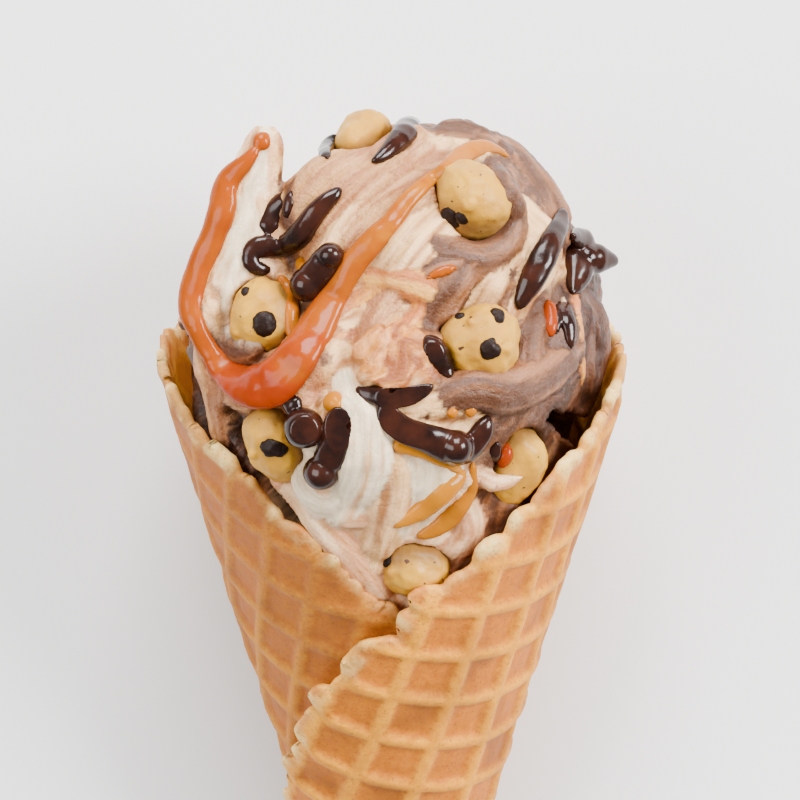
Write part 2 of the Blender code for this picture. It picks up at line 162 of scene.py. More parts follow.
class Grain:
    """Smooth gradient noise that is the same on every run."""

    def __init__(self, seed: int) -> None:
        """Draws the noise's directions.

        Args:
            seed: Which pattern to draw.
        """
        draw = np.random.default_rng(seed)
        self.order = draw.permutation(256)
        directions = draw.normal(size=(256, 3))
        self.directions = directions / np.linalg.norm(directions, axis=1, keepdims=True)

    def at(self, points: Array, size: float) -> Array:
        """Reads the noise.

        Args:
            points: Points in mm.
            size: Size of the lumps in mm.

        Returns:
            Values from about -1 to 1.
        """
        cells = points / size
        low = np.floor(cells).astype(np.int64)
        part = cells - low
        fade = part**3 * (part * (part * 6 - 15) + 10)
        total = np.zeros(len(points))
        for corner in product((0, 1), repeat=3):
            at = (low + corner) & 255
            index = self.order[(self.order[(self.order[at[:, 0]] + at[:, 1]) & 255] + at[:, 2]) & 255]
            weight = np.prod(np.where(corner, fade, 1 - fade), axis=1)
            total += weight * np.einsum("ij,ij->i", self.directions[index], part - corner)
        return total * 1.7

    def rough(self, points: Array, size: float, octaves: int) -> Array:
        """Adds finer and fainter lumps to the noise.

        Args:
            points: Points in mm.
            size: Size of the largest lumps in mm.
            octaves: How many sizes of lump.

        Returns:
            Values from about -1.5 to 1.5.
        """
        return sum(self.at(points + 31.7 * k, size / 2**k) / 2**k for k in range(octaves))


@dataclass
class Shape:
    """A mesh as arrays, in mm in the standing frame."""

    points: Array
    quads: Array = field(default_factory=lambda: np.zeros((0, 4), int))
    tris: Array = field(default_factory=lambda: np.zeros((0, 3), int))

    @classmethod
    def joined(cls, shapes: "list[Shape]") -> "Shape":
        """Puts several shapes into one.

        Args:
            shapes: The shapes.

        Returns:
            One shape with all their faces.
        """
        starts = np.cumsum([0] + [len(shape.points) for shape in shapes[:-1]])
        return cls(np.concatenate([shape.points for shape in shapes]),
                   np.concatenate([shape.quads + start for shape, start in zip(shapes, starts)]),
                   np.concatenate([shape.tris + start for shape, start in zip(shapes, starts)]))

    @classmethod
    def of_mesh(cls, mesh: bpy.types.Mesh) -> "Shape":
        """Reads a mesh of triangles and quads.

        Args:
            mesh: The mesh.

        Returns:
            The same points and faces as arrays.
        """
        points = np.zeros(len(mesh.vertices) * 3)
        mesh.vertices.foreach_get("co", points)
        corners = np.zeros(len(mesh.loops), int)
        mesh.loops.foreach_get("vertex_index", corners)
        starts = np.zeros(len(mesh.polygons), int)
        mesh.polygons.foreach_get("loop_start", starts)
        sides = np.diff(np.append(starts, len(corners)))
        return cls(points.reshape(-1, 3),
                   corners[starts[sides == 4][:, None] + np.arange(4)],
                   corners[starts[sides == 3][:, None] + np.arange(3)])

    @classmethod
    def of_node(cls, name: str) -> "Shape":
        """Reads a solid of the frame, with its split points merged.

        Args:
            name: The solid's node.

        Returns:
            The solid's shape, standing.
        """
        bm = bmesh.new()
        bm.from_mesh(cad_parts[name].data)
        bmesh.ops.remove_doubles(bm, verts=bm.verts, dist=0.001 * MM)
        mesh = bpy.data.meshes.new("solid")
        bm.to_mesh(mesh)
        bm.free()
        shape = cls.of_mesh(mesh)
        bpy.data.meshes.remove(mesh)
        return cls(stood(shape.points / MM), shape.quads, shape.tris)

    @property
    def faces(self) -> list[list[int]]:
        """The point numbers of every face."""
        return self.quads.tolist() + self.tris.tolist()

    @property
    def edges(self) -> Array:
        """Each edge once, as a pair of point numbers."""
        sides = [self.quads[:, [k, (k + 1) % 4]] for k in range(4)]
        sides += [self.tris[:, [k, (k + 1) % 3]] for k in range(3)]
        pairs = np.sort(np.concatenate(sides), axis=1)
        keys = np.unique(pairs[:, 0] * len(self.points) + pairs[:, 1])
        return np.stack((keys // len(self.points), keys % len(self.points)), axis=1)

    @property
    def normals(self) -> Array:
        """The outward direction at each point."""
        p, q, t = self.points, self.quads, self.tris
        across = [(q, np.cross(p[q[:, 2]] - p[q[:, 0]], p[q[:, 3]] - p[q[:, 1]])),
                  (t, np.cross(p[t[:, 1]] - p[t[:, 0]], p[t[:, 2]] - p[t[:, 0]]))]
        total = np.zeros_like(p)
        for faces, cross in across:
            for corner in faces.T:
                for axis in range(3):
                    total[:, axis] += np.bincount(corner, cross[:, axis], len(p))
        return total / np.maximum(np.linalg.norm(total, axis=1, keepdims=True), 1e-12)

    def relaxed(self, rounds: int, grow: float = 0.53) -> "Shape":
        """Smooths the shape's small bumps and keeps its size.

        Args:
            rounds: How many times to smooth and grow back.
            grow: How much each round grows back; 0 lets the shape shrink.

        Returns:
            The smoothed shape.
        """
        first, second = self.edges.T
        count = len(self.points)
        degree = np.maximum(np.bincount(first, minlength=count) + np.bincount(second, minlength=count), 1)
        points = self.points.copy()
        for factor in (0.5, -grow) * rounds:
            if factor:
                mean = [np.bincount(first, column[second], count) + np.bincount(second, column[first], count)
                        for column in points.T]
                points += factor * (np.stack(mean, axis=1) / degree[:, None] - points)
        return Shape(points, self.quads, self.tris)

    def united(self, voxel: float) -> "Shape":
        """Melts all bodies of the shape into one skin of even quads.

        Args:
            voxel: The skin's grid size in mm.

        Returns:
            The one skin.
        """
        mesh = bpy.data.meshes.new("united")
        mesh.from_pydata(self.points.tolist(), [], self.faces)
        blank = bpy.data.objects.new("united", mesh)
        bpy.context.scene.collection.objects.link(blank)
        remesh = blank.modifiers.new("skin", "REMESH")
        remesh.mode = "VOXEL"
        remesh.voxel_size = voxel
        bpy.context.view_layer.update()
        evaluated = blank.evaluated_get(bpy.context.evaluated_depsgraph_get())
        skin = bpy.data.meshes.new_from_object(evaluated)
        shape = Shape.of_mesh(skin)
        bpy.data.objects.remove(blank)
        for used in (mesh, skin):
            bpy.data.meshes.remove(used)
        return shape

    def piece(self, name: str, finish: "Finish", slot: str, nodes: tuple[str, ...],
              **values: Array) -> bpy.types.Object:
        """Makes a laid-down object of the shape, which rides with the cone.

        Args:
            name: The piece's name.
            finish: What its surface is made of.
            slot: The material slot it belongs to; not used.
            nodes: The solids it stands for.
            **values: What its material reads at each point: colours, numbers or directions.

        Returns:
            The new object.
        """
        low, high = (np.array(corner) / MM for corner in cad_box)
        mesh = bpy.data.meshes.new(name)
        mesh.from_pydata((np.clip(laid(self.points), low, high) * MM).tolist(), [], self.faces)
        for key, value in values.items():
            kind, part = ("FLOAT", "value") if value.ndim == 1 else ("FLOAT_VECTOR", "vector")
            layer = mesh.attributes.new(key, kind, "POINT")
            layer.data.foreach_set(part, value.astype(np.float32).ravel())
        mesh.materials.append(finish.made())
        mesh.shade_smooth()
        obj = bpy.data.objects.new(name, mesh)
        bpy.context.scene.collection.objects.link(obj)
        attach(obj, BODY)
        if nodes:
            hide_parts(*nodes)
        log.info("%s: %d points, %d faces", name, len(mesh.vertices), len(mesh.polygons))
        return obj


def ball(centre: Array, half_sizes: Array, subdivisions: int = 3) -> Shape:
    """Makes an ellipsoid of triangles.

    Args:
        centre: Its middle in mm.
        half_sizes: Its three half sizes in mm.
        subdivisions: How finely it is split.

    Returns:
        The ellipsoid.
    """
    bm = bmesh.new()
    bmesh.ops.create_icosphere(bm, subdivisions=subdivisions, radius=1)
    points = np.array([vert.co for vert in bm.verts])
    tris = np.array([[vert.index for vert in face.verts] for face in bm.faces])
    bm.free()
    return Shape(points * half_sizes + centre, tris=tris)


class Placing(Enum):
    """How a band's route is given."""

    BEARING = "degrees round from the viewer and up from level, seen from the heap's centre"
    PHOTO = "pixels from the photograph's left side and from its top"


@dataclass(frozen=True)
class Band:
    """A flat-bottomed band that lies over the heap, such as a spatula's sweep or a pour of sauce."""

    route: Route
    flatness: float = 0.6
    lift: float = 0.0
    placing: Placing = Placing.PHOTO


@dataclass(frozen=True)
class Track:
    """A band's line over the heap, point by point."""

    centres: Array
    ahead: Array
    across: Array
    normals: Array
    half_widths: Array
    flatness: float

    def tube(self, sides: int = 14) -> Shape:
        """Makes the band itself, with round ends.

        Args:
            sides: How many sides its section has.

        Returns:
            A closed tube of flattened section.
        """
        count = len(self.centres)
        length = np.concatenate(([0], np.cumsum(np.linalg.norm(np.diff(self.centres, axis=0), axis=1))))
        to_end = np.minimum(length, length[-1] - length) / np.maximum(self.half_widths, 0.1)
        taper = np.sqrt(1 - (1 - np.clip(to_end, 0, 1))**2 * 0.92)
        turns = math.tau * np.arange(sides) / sides
        wide = (self.half_widths * taper)[:, None, None]
        ring = (self.across[:, None] * np.cos(turns)[None, :, None]
                + self.normals[:, None] * (np.sin(turns) * self.flatness)[None, :, None]) * wide
        points = (self.centres[:, None] + ring).reshape(-1, 3)
        k, side = np.meshgrid(np.arange(count - 1), np.arange(sides), indexing="ij")
        following = (side + 1) % sides
        quads = np.stack((k * sides + side, k * sides + following,
                          (k + 1) * sides + following, (k + 1) * sides + side), axis=-1).reshape(-1, 4)
        ends = np.stack((self.centres[0], self.centres[-1]))
        side = np.arange(sides)
        start = np.stack((side, np.full(sides, len(points)), (side + 1) % sides), axis=1)
        last = (count - 1) * sides
        end = np.stack((last + side, last + (side + 1) % sides, np.full(sides, len(points) + 1)), axis=1)
        return Shape(np.concatenate((points, ends)), quads, np.concatenate((start, end)))

    def local(self, points: Array) -> tuple[Array, Array, Array]:
        """Says where points lie beside the track.

        Args:
            points: Points in mm.

        Returns:
            Distance along in mm, distance across in mm, and how far out of the band's section, where
            1 is its skin.
        """
        away = ((points[:, None] - self.centres[None])**2).sum(axis=2)
        nearest = away.argmin(axis=1)
        offset = points - self.centres[nearest]
        steps = np.linalg.norm(np.diff(self.centres, axis=0), axis=1)
        length = np.concatenate(([0], np.cumsum(steps)))
        forward = np.einsum("ij,ij->i", offset, self.ahead[nearest])
        sideways = np.einsum("ij,ij->i", offset, self.across[nearest])
        up = np.einsum("ij,ij->i", offset, self.normals[nearest])
        wide = self.half_widths[nearest]
        over_end = np.maximum(np.abs(forward) - steps.mean() * 0.6, 0)
        out = np.sqrt((sideways / wide)**2 + (up / (wide * self.flatness))**2 + (over_end / wide)**2)
        return length[nearest] + forward, sideways, out


class Skin:
    """A surface that things are laid on."""

    def __init__(self, shape: Shape) -> None:
        """Sorts the shape's faces for searching.

        Args:
            shape: The surface.
        """
        self.tree = BVHTree.FromPolygons(shape.points.tolist(), shape.faces)

    def by_bearing(self, bearing: float, height: float) -> tuple[Vector, Vector]:
        """Finds the skin in a direction from the heap's centre.

        Args:
            bearing: Degrees round from the viewer.
            height: Degrees up from level.

        Returns:
            The place and its outward direction, which is level under the centre.
        """
        turn, rise = math.radians(bearing), math.radians(height)
        level = math.cos(rise)
        out = Vector((math.sin(turn) * level, -math.cos(turn) * level, math.sin(rise)))
        below = max(0.0, -rise)
        normal = (out * math.cos(below) + Vector((out.x, out.y, 0)) * math.sin(below)).normalized()
        hit = self.tree.ray_cast(HEAP_CENTRE + out * HEAP_REACH, -out, HEAP_REACH)[0]
        return hit, normal

    def by_photo(self, column: float, row: float) -> tuple[Vector, Vector]:
        """Finds the skin where the viewer sees it, or the nearest skin beside its outline.

        Args:
            column: Pixels from the photograph's left side.
            row: Pixels from its top.

        Returns:
            The place and its outward direction, turned halfway to the viewer.
        """
        eye = VIEW_MIDDLE + VIEW_BACK * VIEW_DISTANCE
        ahead = sight(column, row)
        hit = self.tree.ray_cast(eye, ahead, 2 * VIEW_DISTANCE)
        if hit[0] is None:
            tried = [self.tree.find_nearest(eye + ahead * (VIEW_DISTANCE - depth))
                     for depth in range(-24, 48, 4)]
            hit = min(tried, key=lambda nearest: nearest[3])
        return hit[0], (hit[1] + VIEW_BACK).normalized()

    def found(self, placing: Placing, first: float, second: float) -> tuple[Vector, Vector]:
        """The skin's place and outward direction for a pair of numbers."""
        return self.by_photo(first, second) if placing is Placing.PHOTO else self.by_bearing(first, second)

    def track(self, band: Band, step: float = 1.6) -> Track:
        """Lays a band's route on the skin.

        Args:
            band: The band.
            step: Distance between its points in mm.

        Returns:
            The route as a track.
        """
        route = np.array(band.route, float)
        scale = 37 * math.radians(1) if band.placing is Placing.BEARING else PIXEL
        rows = []
        for k in range(len(route) - 1):
            before, after = route[max(k - 1, 0)], route[min(k + 2, len(route) - 1)]
            start, end = route[k], route[k + 1]
            count = max(2, round(float(np.hypot(*(end - start)[:2])) * scale / step))
            for t in np.arange(count) / count:
                rows.append(start * (2 * t**3 - 3 * t**2 + 1) + (end - before) / 2 * (t**3 - 2 * t**2 + t)
                            + end * (3 * t**2 - 2 * t**3) + (after - start) / 2 * (t**3 - t**2))
        rows.append(route[-1])
        found = [self.found(band.placing, row[0], row[1]) for row in rows]
        centres = np.array([hit + normal * band.lift for hit, normal in found])
        normals = np.array([normal for _, normal in found])
        for _ in range(2):
            centres[1:-1] = (centres[:-2] + centres[1:-1] * 2 + centres[2:]) / 4
            normals[1:-1] = (normals[:-2] + normals[1:-1] * 2 + normals[2:]) / 4
        ahead = np.gradient(centres, axis=0)
        ahead /= np.linalg.norm(ahead, axis=1, keepdims=True)
        across = np.cross(ahead, normals)
        across /= np.linalg.norm(across, axis=1, keepdims=True)
        normals = np.cross(across, ahead)
        return Track(centres, ahead, across, normals, np.array([row[2] for row in rows]), band.flatness)


class Recipe:
    """A material's node tree, with short calls to add and join nodes."""

    def __init__(self, name: str) -> None:
        """Starts the material with its Principled shader.

        Args:
            name: The material's name.
        """
        self.material = bpy.data.materials.new(name)
        self.material.use_nodes = True
        self.tree = self.material.node_tree
        self.shader = self.tree.nodes["Principled BSDF"]

    def add(self, kind: str, values: dict | None = None, **settings: object) -> bpy.types.Node:
        """Adds a node.

        Args:
            kind: The node's type, without its prefix.
            values: Its sockets' values, or the sockets that feed them.
            **settings: Its own settings.

        Returns:
            The node.
        """
        node = self.tree.nodes.new("ShaderNode" + kind)
        for key, value in settings.items():
            setattr(node, key, value)
        self.feed(node, values or {})
        return node

    def feed(self, node: bpy.types.Node, values: dict) -> None:
        """Sets or joins a node's sockets.

        Args:
            node: The node.
            values: Its sockets' values, or the sockets that feed them.
        """
        for key, value in values.items():
            if isinstance(value, bpy.types.NodeSocket):
                self.tree.links.new(value, node.inputs[key])
            else:
                node.inputs[key].default_value = value

    def lumps(self, size: float, detail: float = 3.0, roughness: float = 0.55,
              vector: bpy.types.NodeSocket | None = None) -> bpy.types.NodeSocket:
        """Adds noise with lumps of a given size.

        Args:
            size: The lumps' size in mm.
            detail: How many finer sizes it adds.
            roughness: How strong those are.
            vector: Where it is read, in metres; the object's own place if none is given.

        Returns:
            The noise's value, from 0 to 1.
        """
        values = {"Scale": 1 / (size * MM), "Detail": detail, "Roughness": roughness}
        values["Vector"] = vector or self.add("TexCoord").outputs["Object"]
        return self.add("TexNoise", values).outputs["Fac"]

    def stored(self, name: str) -> bpy.types.Node:
        """Reads what a piece stored at its points."""
        return self.add("Attribute", attribute_name=name)

    def ranged(self, value: bpy.types.NodeSocket, low: float, high: float,
               to_low: float = 0.0, to_high: float = 1.0) -> bpy.types.NodeSocket:
        """Maps a range of values onto another, and stops at its ends.

        Args:
            value: What is mapped.
            low: Start of the range.
            high: End of the range.
            to_low: What the start becomes.
            to_high: What the end becomes.

        Returns:
            The mapped value.
        """
        values = {"Value": value, "From Min": low, "From Max": high, "To Min": to_low, "To Max": to_high}
        return self.add("MapRange", values).outputs["Result"]

    def mixed(self, share: bpy.types.NodeSocket | float, first: object,
              second: object) -> bpy.types.NodeSocket:
        """Mixes two colours.

        Args:
            share: Share of the second one.
            first: A colour, or the socket that feeds it.
            second: A colour, or the socket that feeds it.

        Returns:
            The mixed colour.
        """
        node = self.add("Mix", data_type="RGBA")
        colours = {0: share, 6: first, 7: second}
        self.feed(node, {k: (*v, 1) if isinstance(v, tuple) else v for k, v in colours.items()})
        return node.outputs[2]

    def bumped(self, *layers: tuple[bpy.types.NodeSocket, float, float]) -> None:
        """Gives the shader relief.

        Args:
            *layers: The height's socket, its depth in mm and its strength, for each layer.
        """
        last = None
        for height, depth, strength in layers:
            values = {"Height": height, "Distance": depth * MM, "Strength": strength}
            if last is not None:
                values["Normal"] = last
            last = self.add("Bump", values).outputs["Normal"]
        self.feed(self.shader, {"Normal": last})


@dataclass(frozen=True)
class Finish:
    """What a surface is made of: one material, made once."""

    name: str

    def made(self) -> bpy.types.Material:
        """The finish's material, made at its first use."""
        ready = bpy.data.materials.get(self.name)
        if ready is not None:
            return ready
        recipe = Recipe(self.name)
        self.fill(recipe)
        return recipe.material

    def fill(self, recipe: Recipe) -> None:
        """Sets up the material's nodes."""
        raise NotImplementedError


@dataclass(frozen=True)
class IceCream(Finish):
    """Soft ice cream: its colours are stored at its points, and it shines where it melts."""

    name: str = "soft_ice_cream"

    def fill(self, recipe: Recipe) -> None:
        """Sets up streaked colour, melting shine and fine pits."""
        tint = recipe.stored("tint").outputs["Color"]
        wet = recipe.stored("wet").outputs["Fac"]
        flow = recipe.add("VectorMath", {0: recipe.stored("flow").outputs["Vector"], 1: (MM, MM, MM)},
                          operation="MULTIPLY").outputs[0]
        streaks = recipe.lumps(1.1, 4, 0.6, flow)
        grains = recipe.lumps(0.55, 3, 0.7)
        darker = recipe.add("HueSaturation", {"Value": 0.78, "Saturation": 1.1, "Color": tint}).outputs[0]
        lighter = recipe.add("HueSaturation", {"Value": 1.16, "Saturation": 0.94, "Color": tint}).outputs[0]
        streaked = recipe.mixed(recipe.ranged(streaks, 0.34, 0.66), darker, lighter)
        grained = recipe.add("HueSaturation", {"Value": recipe.ranged(grains, 0.3, 0.7, 0.93, 1.05),
                                               "Color": streaked}).outputs[0]
        glaze = recipe.lumps(3.2, 2, 0.5)
        shine = recipe.add("Math", {0: wet, 1: recipe.ranged(glaze, 0.42, 0.62, 0.55, 1.15)},
                           operation="MULTIPLY").outputs[0]
        recipe.feed(recipe.shader, {
            "Base Color": grained,
            "Roughness": recipe.ranged(shine, 0.0, 1.0, 0.62, 0.22),
            "Subsurface Weight": 0.15,
            "Subsurface Radius": (1.0, 0.5, 0.3),
            "Subsurface Scale": 1.2 * MM,
            "Specular IOR Level": 0.38})
        pits = recipe.ranged(recipe.lumps(0.75, 2, 0.6), 0.36, 0.56)
        matte = recipe.ranged(wet, 0.15, 0.6, 1.0, 0.12)
        pitted = recipe.add("Math", {0: pits, 1: matte}, operation="MULTIPLY").outputs[0]
        recipe.bumped((streaks, 0.45, 0.5), (pitted, 0.22, 0.6), (glaze, 0.5, 0.35))


@dataclass(frozen=True)
class Fudge(Finish):
    """Poured fudge: nearly black brown, and very glossy."""

    name: str = "fudge"

    def fill(self, recipe: Recipe) -> None:
        """Sets up a dark gloss with faint ripples."""
        blotches = recipe.lumps(5, 3)
        recipe.feed(recipe.shader, {
            "Base Color": recipe.mixed(recipe.ranged(blotches, 0.35, 0.7), linear("180A07"),
                                       linear("34170D")),
            "Roughness": recipe.ranged(recipe.lumps(3.2, 2), 0.4, 0.75, 0.14, 0.28),
            "Specular IOR Level": 0.25,
            "Coat Weight": 0.05,
            "Coat Roughness": 0.06})
        recipe.bumped((recipe.lumps(4.5, 1), 0.5, 0.2), (recipe.lumps(1.2, 2), 0.1, 0.12))


@dataclass(frozen=True)
class Caramel(Finish):
    """Caramel sauce: yellow where it is thin, red orange where it is deep, and glossy."""

    name: str = "caramel"

    def fill(self, recipe: Recipe) -> None:
        """Sets up colour by depth under a clear gloss."""
        depth = recipe.stored("depth").outputs["Fac"]
        cloud = recipe.ranged(recipe.lumps(4.5, 2), 0.3, 0.7, -0.1, 0.1)
        share = recipe.add("Math", {0: depth, 1: cloud}, operation="ADD").outputs[0]
        thin = recipe.mixed(recipe.ranged(share, 0.0, 0.45), linear("B87200"), linear("9C4C00"))
        recipe.feed(recipe.shader, {
            "Base Color": recipe.mixed(recipe.ranged(share, 0.4, 1.0), thin, linear("8E2C00")),
            "Roughness": recipe.ranged(recipe.lumps(3.5, 2), 0.4, 0.7, 0.14, 0.26),
            "Specular IOR Level": 0.12,
            "Subsurface Weight": 0.05,
            "Subsurface Radius": (1.0, 0.35, 0.05),
            "Subsurface Scale": 1.0 * MM,
            "Coat Weight": 0.06,
            "Coat Roughness": 0.05})
        recipe.bumped((recipe.lumps(5.0, 1), 0.5, 0.2), (recipe.lumps(1.6, 2), 0.1, 0.1))


@dataclass(frozen=True)
class Dough(Finish):
    """Raw cookie dough: dull pale yellow, faintly greasy, with a few small dark specks, and painted shade on
    the side sunk into the ice cream.
    """

    name: str = "raw_cookie_dough"

    def fill(self, recipe: Recipe) -> None:
        """Sets up a blotched pale yellow with specks and fine grain, and painted shade on the sunk side."""
        blotches = recipe.lumps(5.5, 3)
        colour = recipe.mixed(recipe.ranged(blotches, 0.32, 0.68), linear("CE961C"), linear("B67E20"))
        # Painted shade: the side sunk into the ice cream is darkened towards brown.
        edge = recipe.stored("sunk").outputs["Fac"]
        shaded = recipe.mixed(recipe.ranged(edge, 0.0, 1.0, 0.0, 0.75), colour, linear("6E4A2A"))
        specks = recipe.ranged(recipe.lumps(1.3, 1, 0.4), 0.735, 0.76)
        recipe.feed(recipe.shader, {
            "Base Color": recipe.mixed(specks, shaded, linear("4A2A1A")),
            "Roughness": recipe.ranged(recipe.lumps(2.5, 3), 0.35, 0.65, 0.38, 0.58),
            "Specular IOR Level": 0.3,
            "Subsurface Weight": 0.15,
            "Subsurface Radius": (1.0, 0.75, 0.25),
            "Subsurface Scale": 1.6 * MM})
        recipe.bumped((recipe.lumps(2.4, 3), 0.45, 0.4), (recipe.lumps(0.5, 3, 0.7), 0.1, 0.45))


@dataclass(frozen=True)
class Chip(Finish):
    """A chocolate chip: black brown with a dusty bloom."""

    name: str = "chocolate_chip"

    def fill(self, recipe: Recipe) -> None:
        """Sets up dark chocolate with a grey bloom in patches."""
        bloom = recipe.ranged(recipe.lumps(1.6, 3), 0.52, 0.7, 0.0, 0.35)
        recipe.feed(recipe.shader, {
            "Base Color": recipe.mixed(bloom, linear("1A0D08"), linear("38231A")),
            "Roughness": recipe.ranged(recipe.lumps(0.8, 3), 0.3, 0.7, 0.35, 0.6),
            "Specular IOR Level": 0.14})
        recipe.bumped((recipe.lumps(0.7, 3), 0.2, 0.6))


@dataclass(frozen=True)
class Baked(Finish):
    """Baked waffle: golden ridges, browner pockets and a pale crumbly rim."""

    name: str = "baked_waffle"

    def fill(self, recipe: Recipe) -> None:
        """Sets up colour by relief, rim, toasting and painted shade, with pores."""
        relief = recipe.stored("relief").outputs["Fac"]
        rim = recipe.stored("rim").outputs["Fac"]
        bake = recipe.stored("bake").outputs["Fac"]
        fine = recipe.lumps(1.4, 4, 0.65)
        wide = recipe.lumps(11, 3)
        pocket = recipe.mixed(recipe.ranged(fine, 0.35, 0.65), linear("BC6406"), linear("D0780C"))
        ridge = recipe.mixed(recipe.ranged(fine, 0.3, 0.7), linear("DC8808"), linear("F2A41A"))
        height = recipe.add("Math", {0: relief, 1: recipe.ranged(fine, 0.3, 0.7, -0.14, 0.14)},
                            operation="ADD").outputs[0]
        body = recipe.mixed(recipe.ranged(height, 0.15, 0.85), pocket, ridge)
        # Toasting and the painted shade of the left flap both darken towards brown.
        toasted_and_shaded = recipe.mixed(recipe.ranged(bake, 0.0, 1.0, 0.0, 0.6), body, linear("74401A"))
        warm = recipe.mixed(recipe.ranged(wide, 0.45, 0.75, 0.0, 0.35), toasted_and_shaded, linear("B8641E"))
        edge = recipe.mixed(recipe.ranged(fine, 0.3, 0.7), linear("E0AC50"), linear("EED08A"))
        pale = recipe.mixed(rim, warm, edge)
        pores = recipe.ranged(recipe.lumps(0.55, 2, 0.5), 0.30, 0.40, 0.45, 0.0)
        recipe.feed(recipe.shader, {
            "Base Color": recipe.mixed(pores, pale, linear("60371C")),
            "Roughness": recipe.ranged(fine, 0.3, 0.7, 0.5, 0.7),
            "Subsurface Weight": 0.08,
            "Subsurface Radius": (1.0, 0.6, 0.3),
            "Subsurface Scale": 1.0 * MM,
            "Specular IOR Level": 0.22})
        recipe.bumped((fine, 0.35, 0.5), (recipe.lumps(0.5, 3, 0.7), 0.15, 0.5))


@dataclass(frozen=True)
class Paper(Finish):
    """The pale floor."""

    name: str = "floor"
    colour: str = "F4F4F4"

    def fill(self, recipe: Recipe) -> None:
        """Sets up a dull, almost even white."""
        faint = recipe.ranged(recipe.lumps(400, 2), 0.3, 0.7, 0.0, 0.3)
        recipe.feed(recipe.shader, {
            "Base Color": recipe.mixed(faint, linear(self.colour), linear("F8F8F8")),
            "Roughness": 0.9,
            "Specular IOR Level": 0.1})


@dataclass(frozen=True)
class Shade:
    """One kind of ice cream: its colour, the colour streaked through it, and how wet it looks."""

    main: str
    streak: str
    share: float
    wet: float


class Swirl(Enum):
    """The kinds of ice cream swirled together in the heap."""

    CHOCOLATE = Shade("A4683F", "C08A58", 0.5, 0.08)
    MAUVE = Shade("56331F", "8A5836", 0.42, 0.35)
    CREAM = Shade("E8B67C", "B07444", 0.4, 0.45)
    MARSHMALLOW = Shade("E8D0AC", "DCA876", 0.3, 0.55)
    PINK = Shade("D8986A", "F4C898", 0.5, 0.45)
    TOFFEE = Shade("B8641E", "E8A648", 0.45, 0.4)
    COCOA = Shade("381E12", "603A26", 0.45, 0.4)
    NOUGAT = Shade("96522A", "D88E48", 0.5, 0.45)


@dataclass(frozen=True)
class Sweep:
    """One sweep of the spatula: a band of one kind of ice cream."""

    band: Band
    swirl: Swirl


@dataclass(frozen=True)
class Patch:
    """Where one kind of ice cream shows between the sweeps: in the photograph, and by bearing behind."""

    swirl: Swirl
    radius: float
    seen: tuple[tuple[float, float], ...]
    behind: tuple[tuple[float, float], ...] = ()


def sweep(swirl: Swirl, lift: float, flatness: float, *route: Row, placing: Placing = Placing.PHOTO) -> Sweep:
    """Writes a sweep on one line.

    Args:
        swirl: Its kind of ice cream.
        lift: How far its middle stands over the heap's skin in mm.
        flatness: Its half thickness over its half width.
        *route: Two numbers that place it and its half width, at each point.
        placing: How the route is given.

    Returns:
        The sweep.
    """
    return Sweep(Band(route, flatness, lift, placing), swirl)


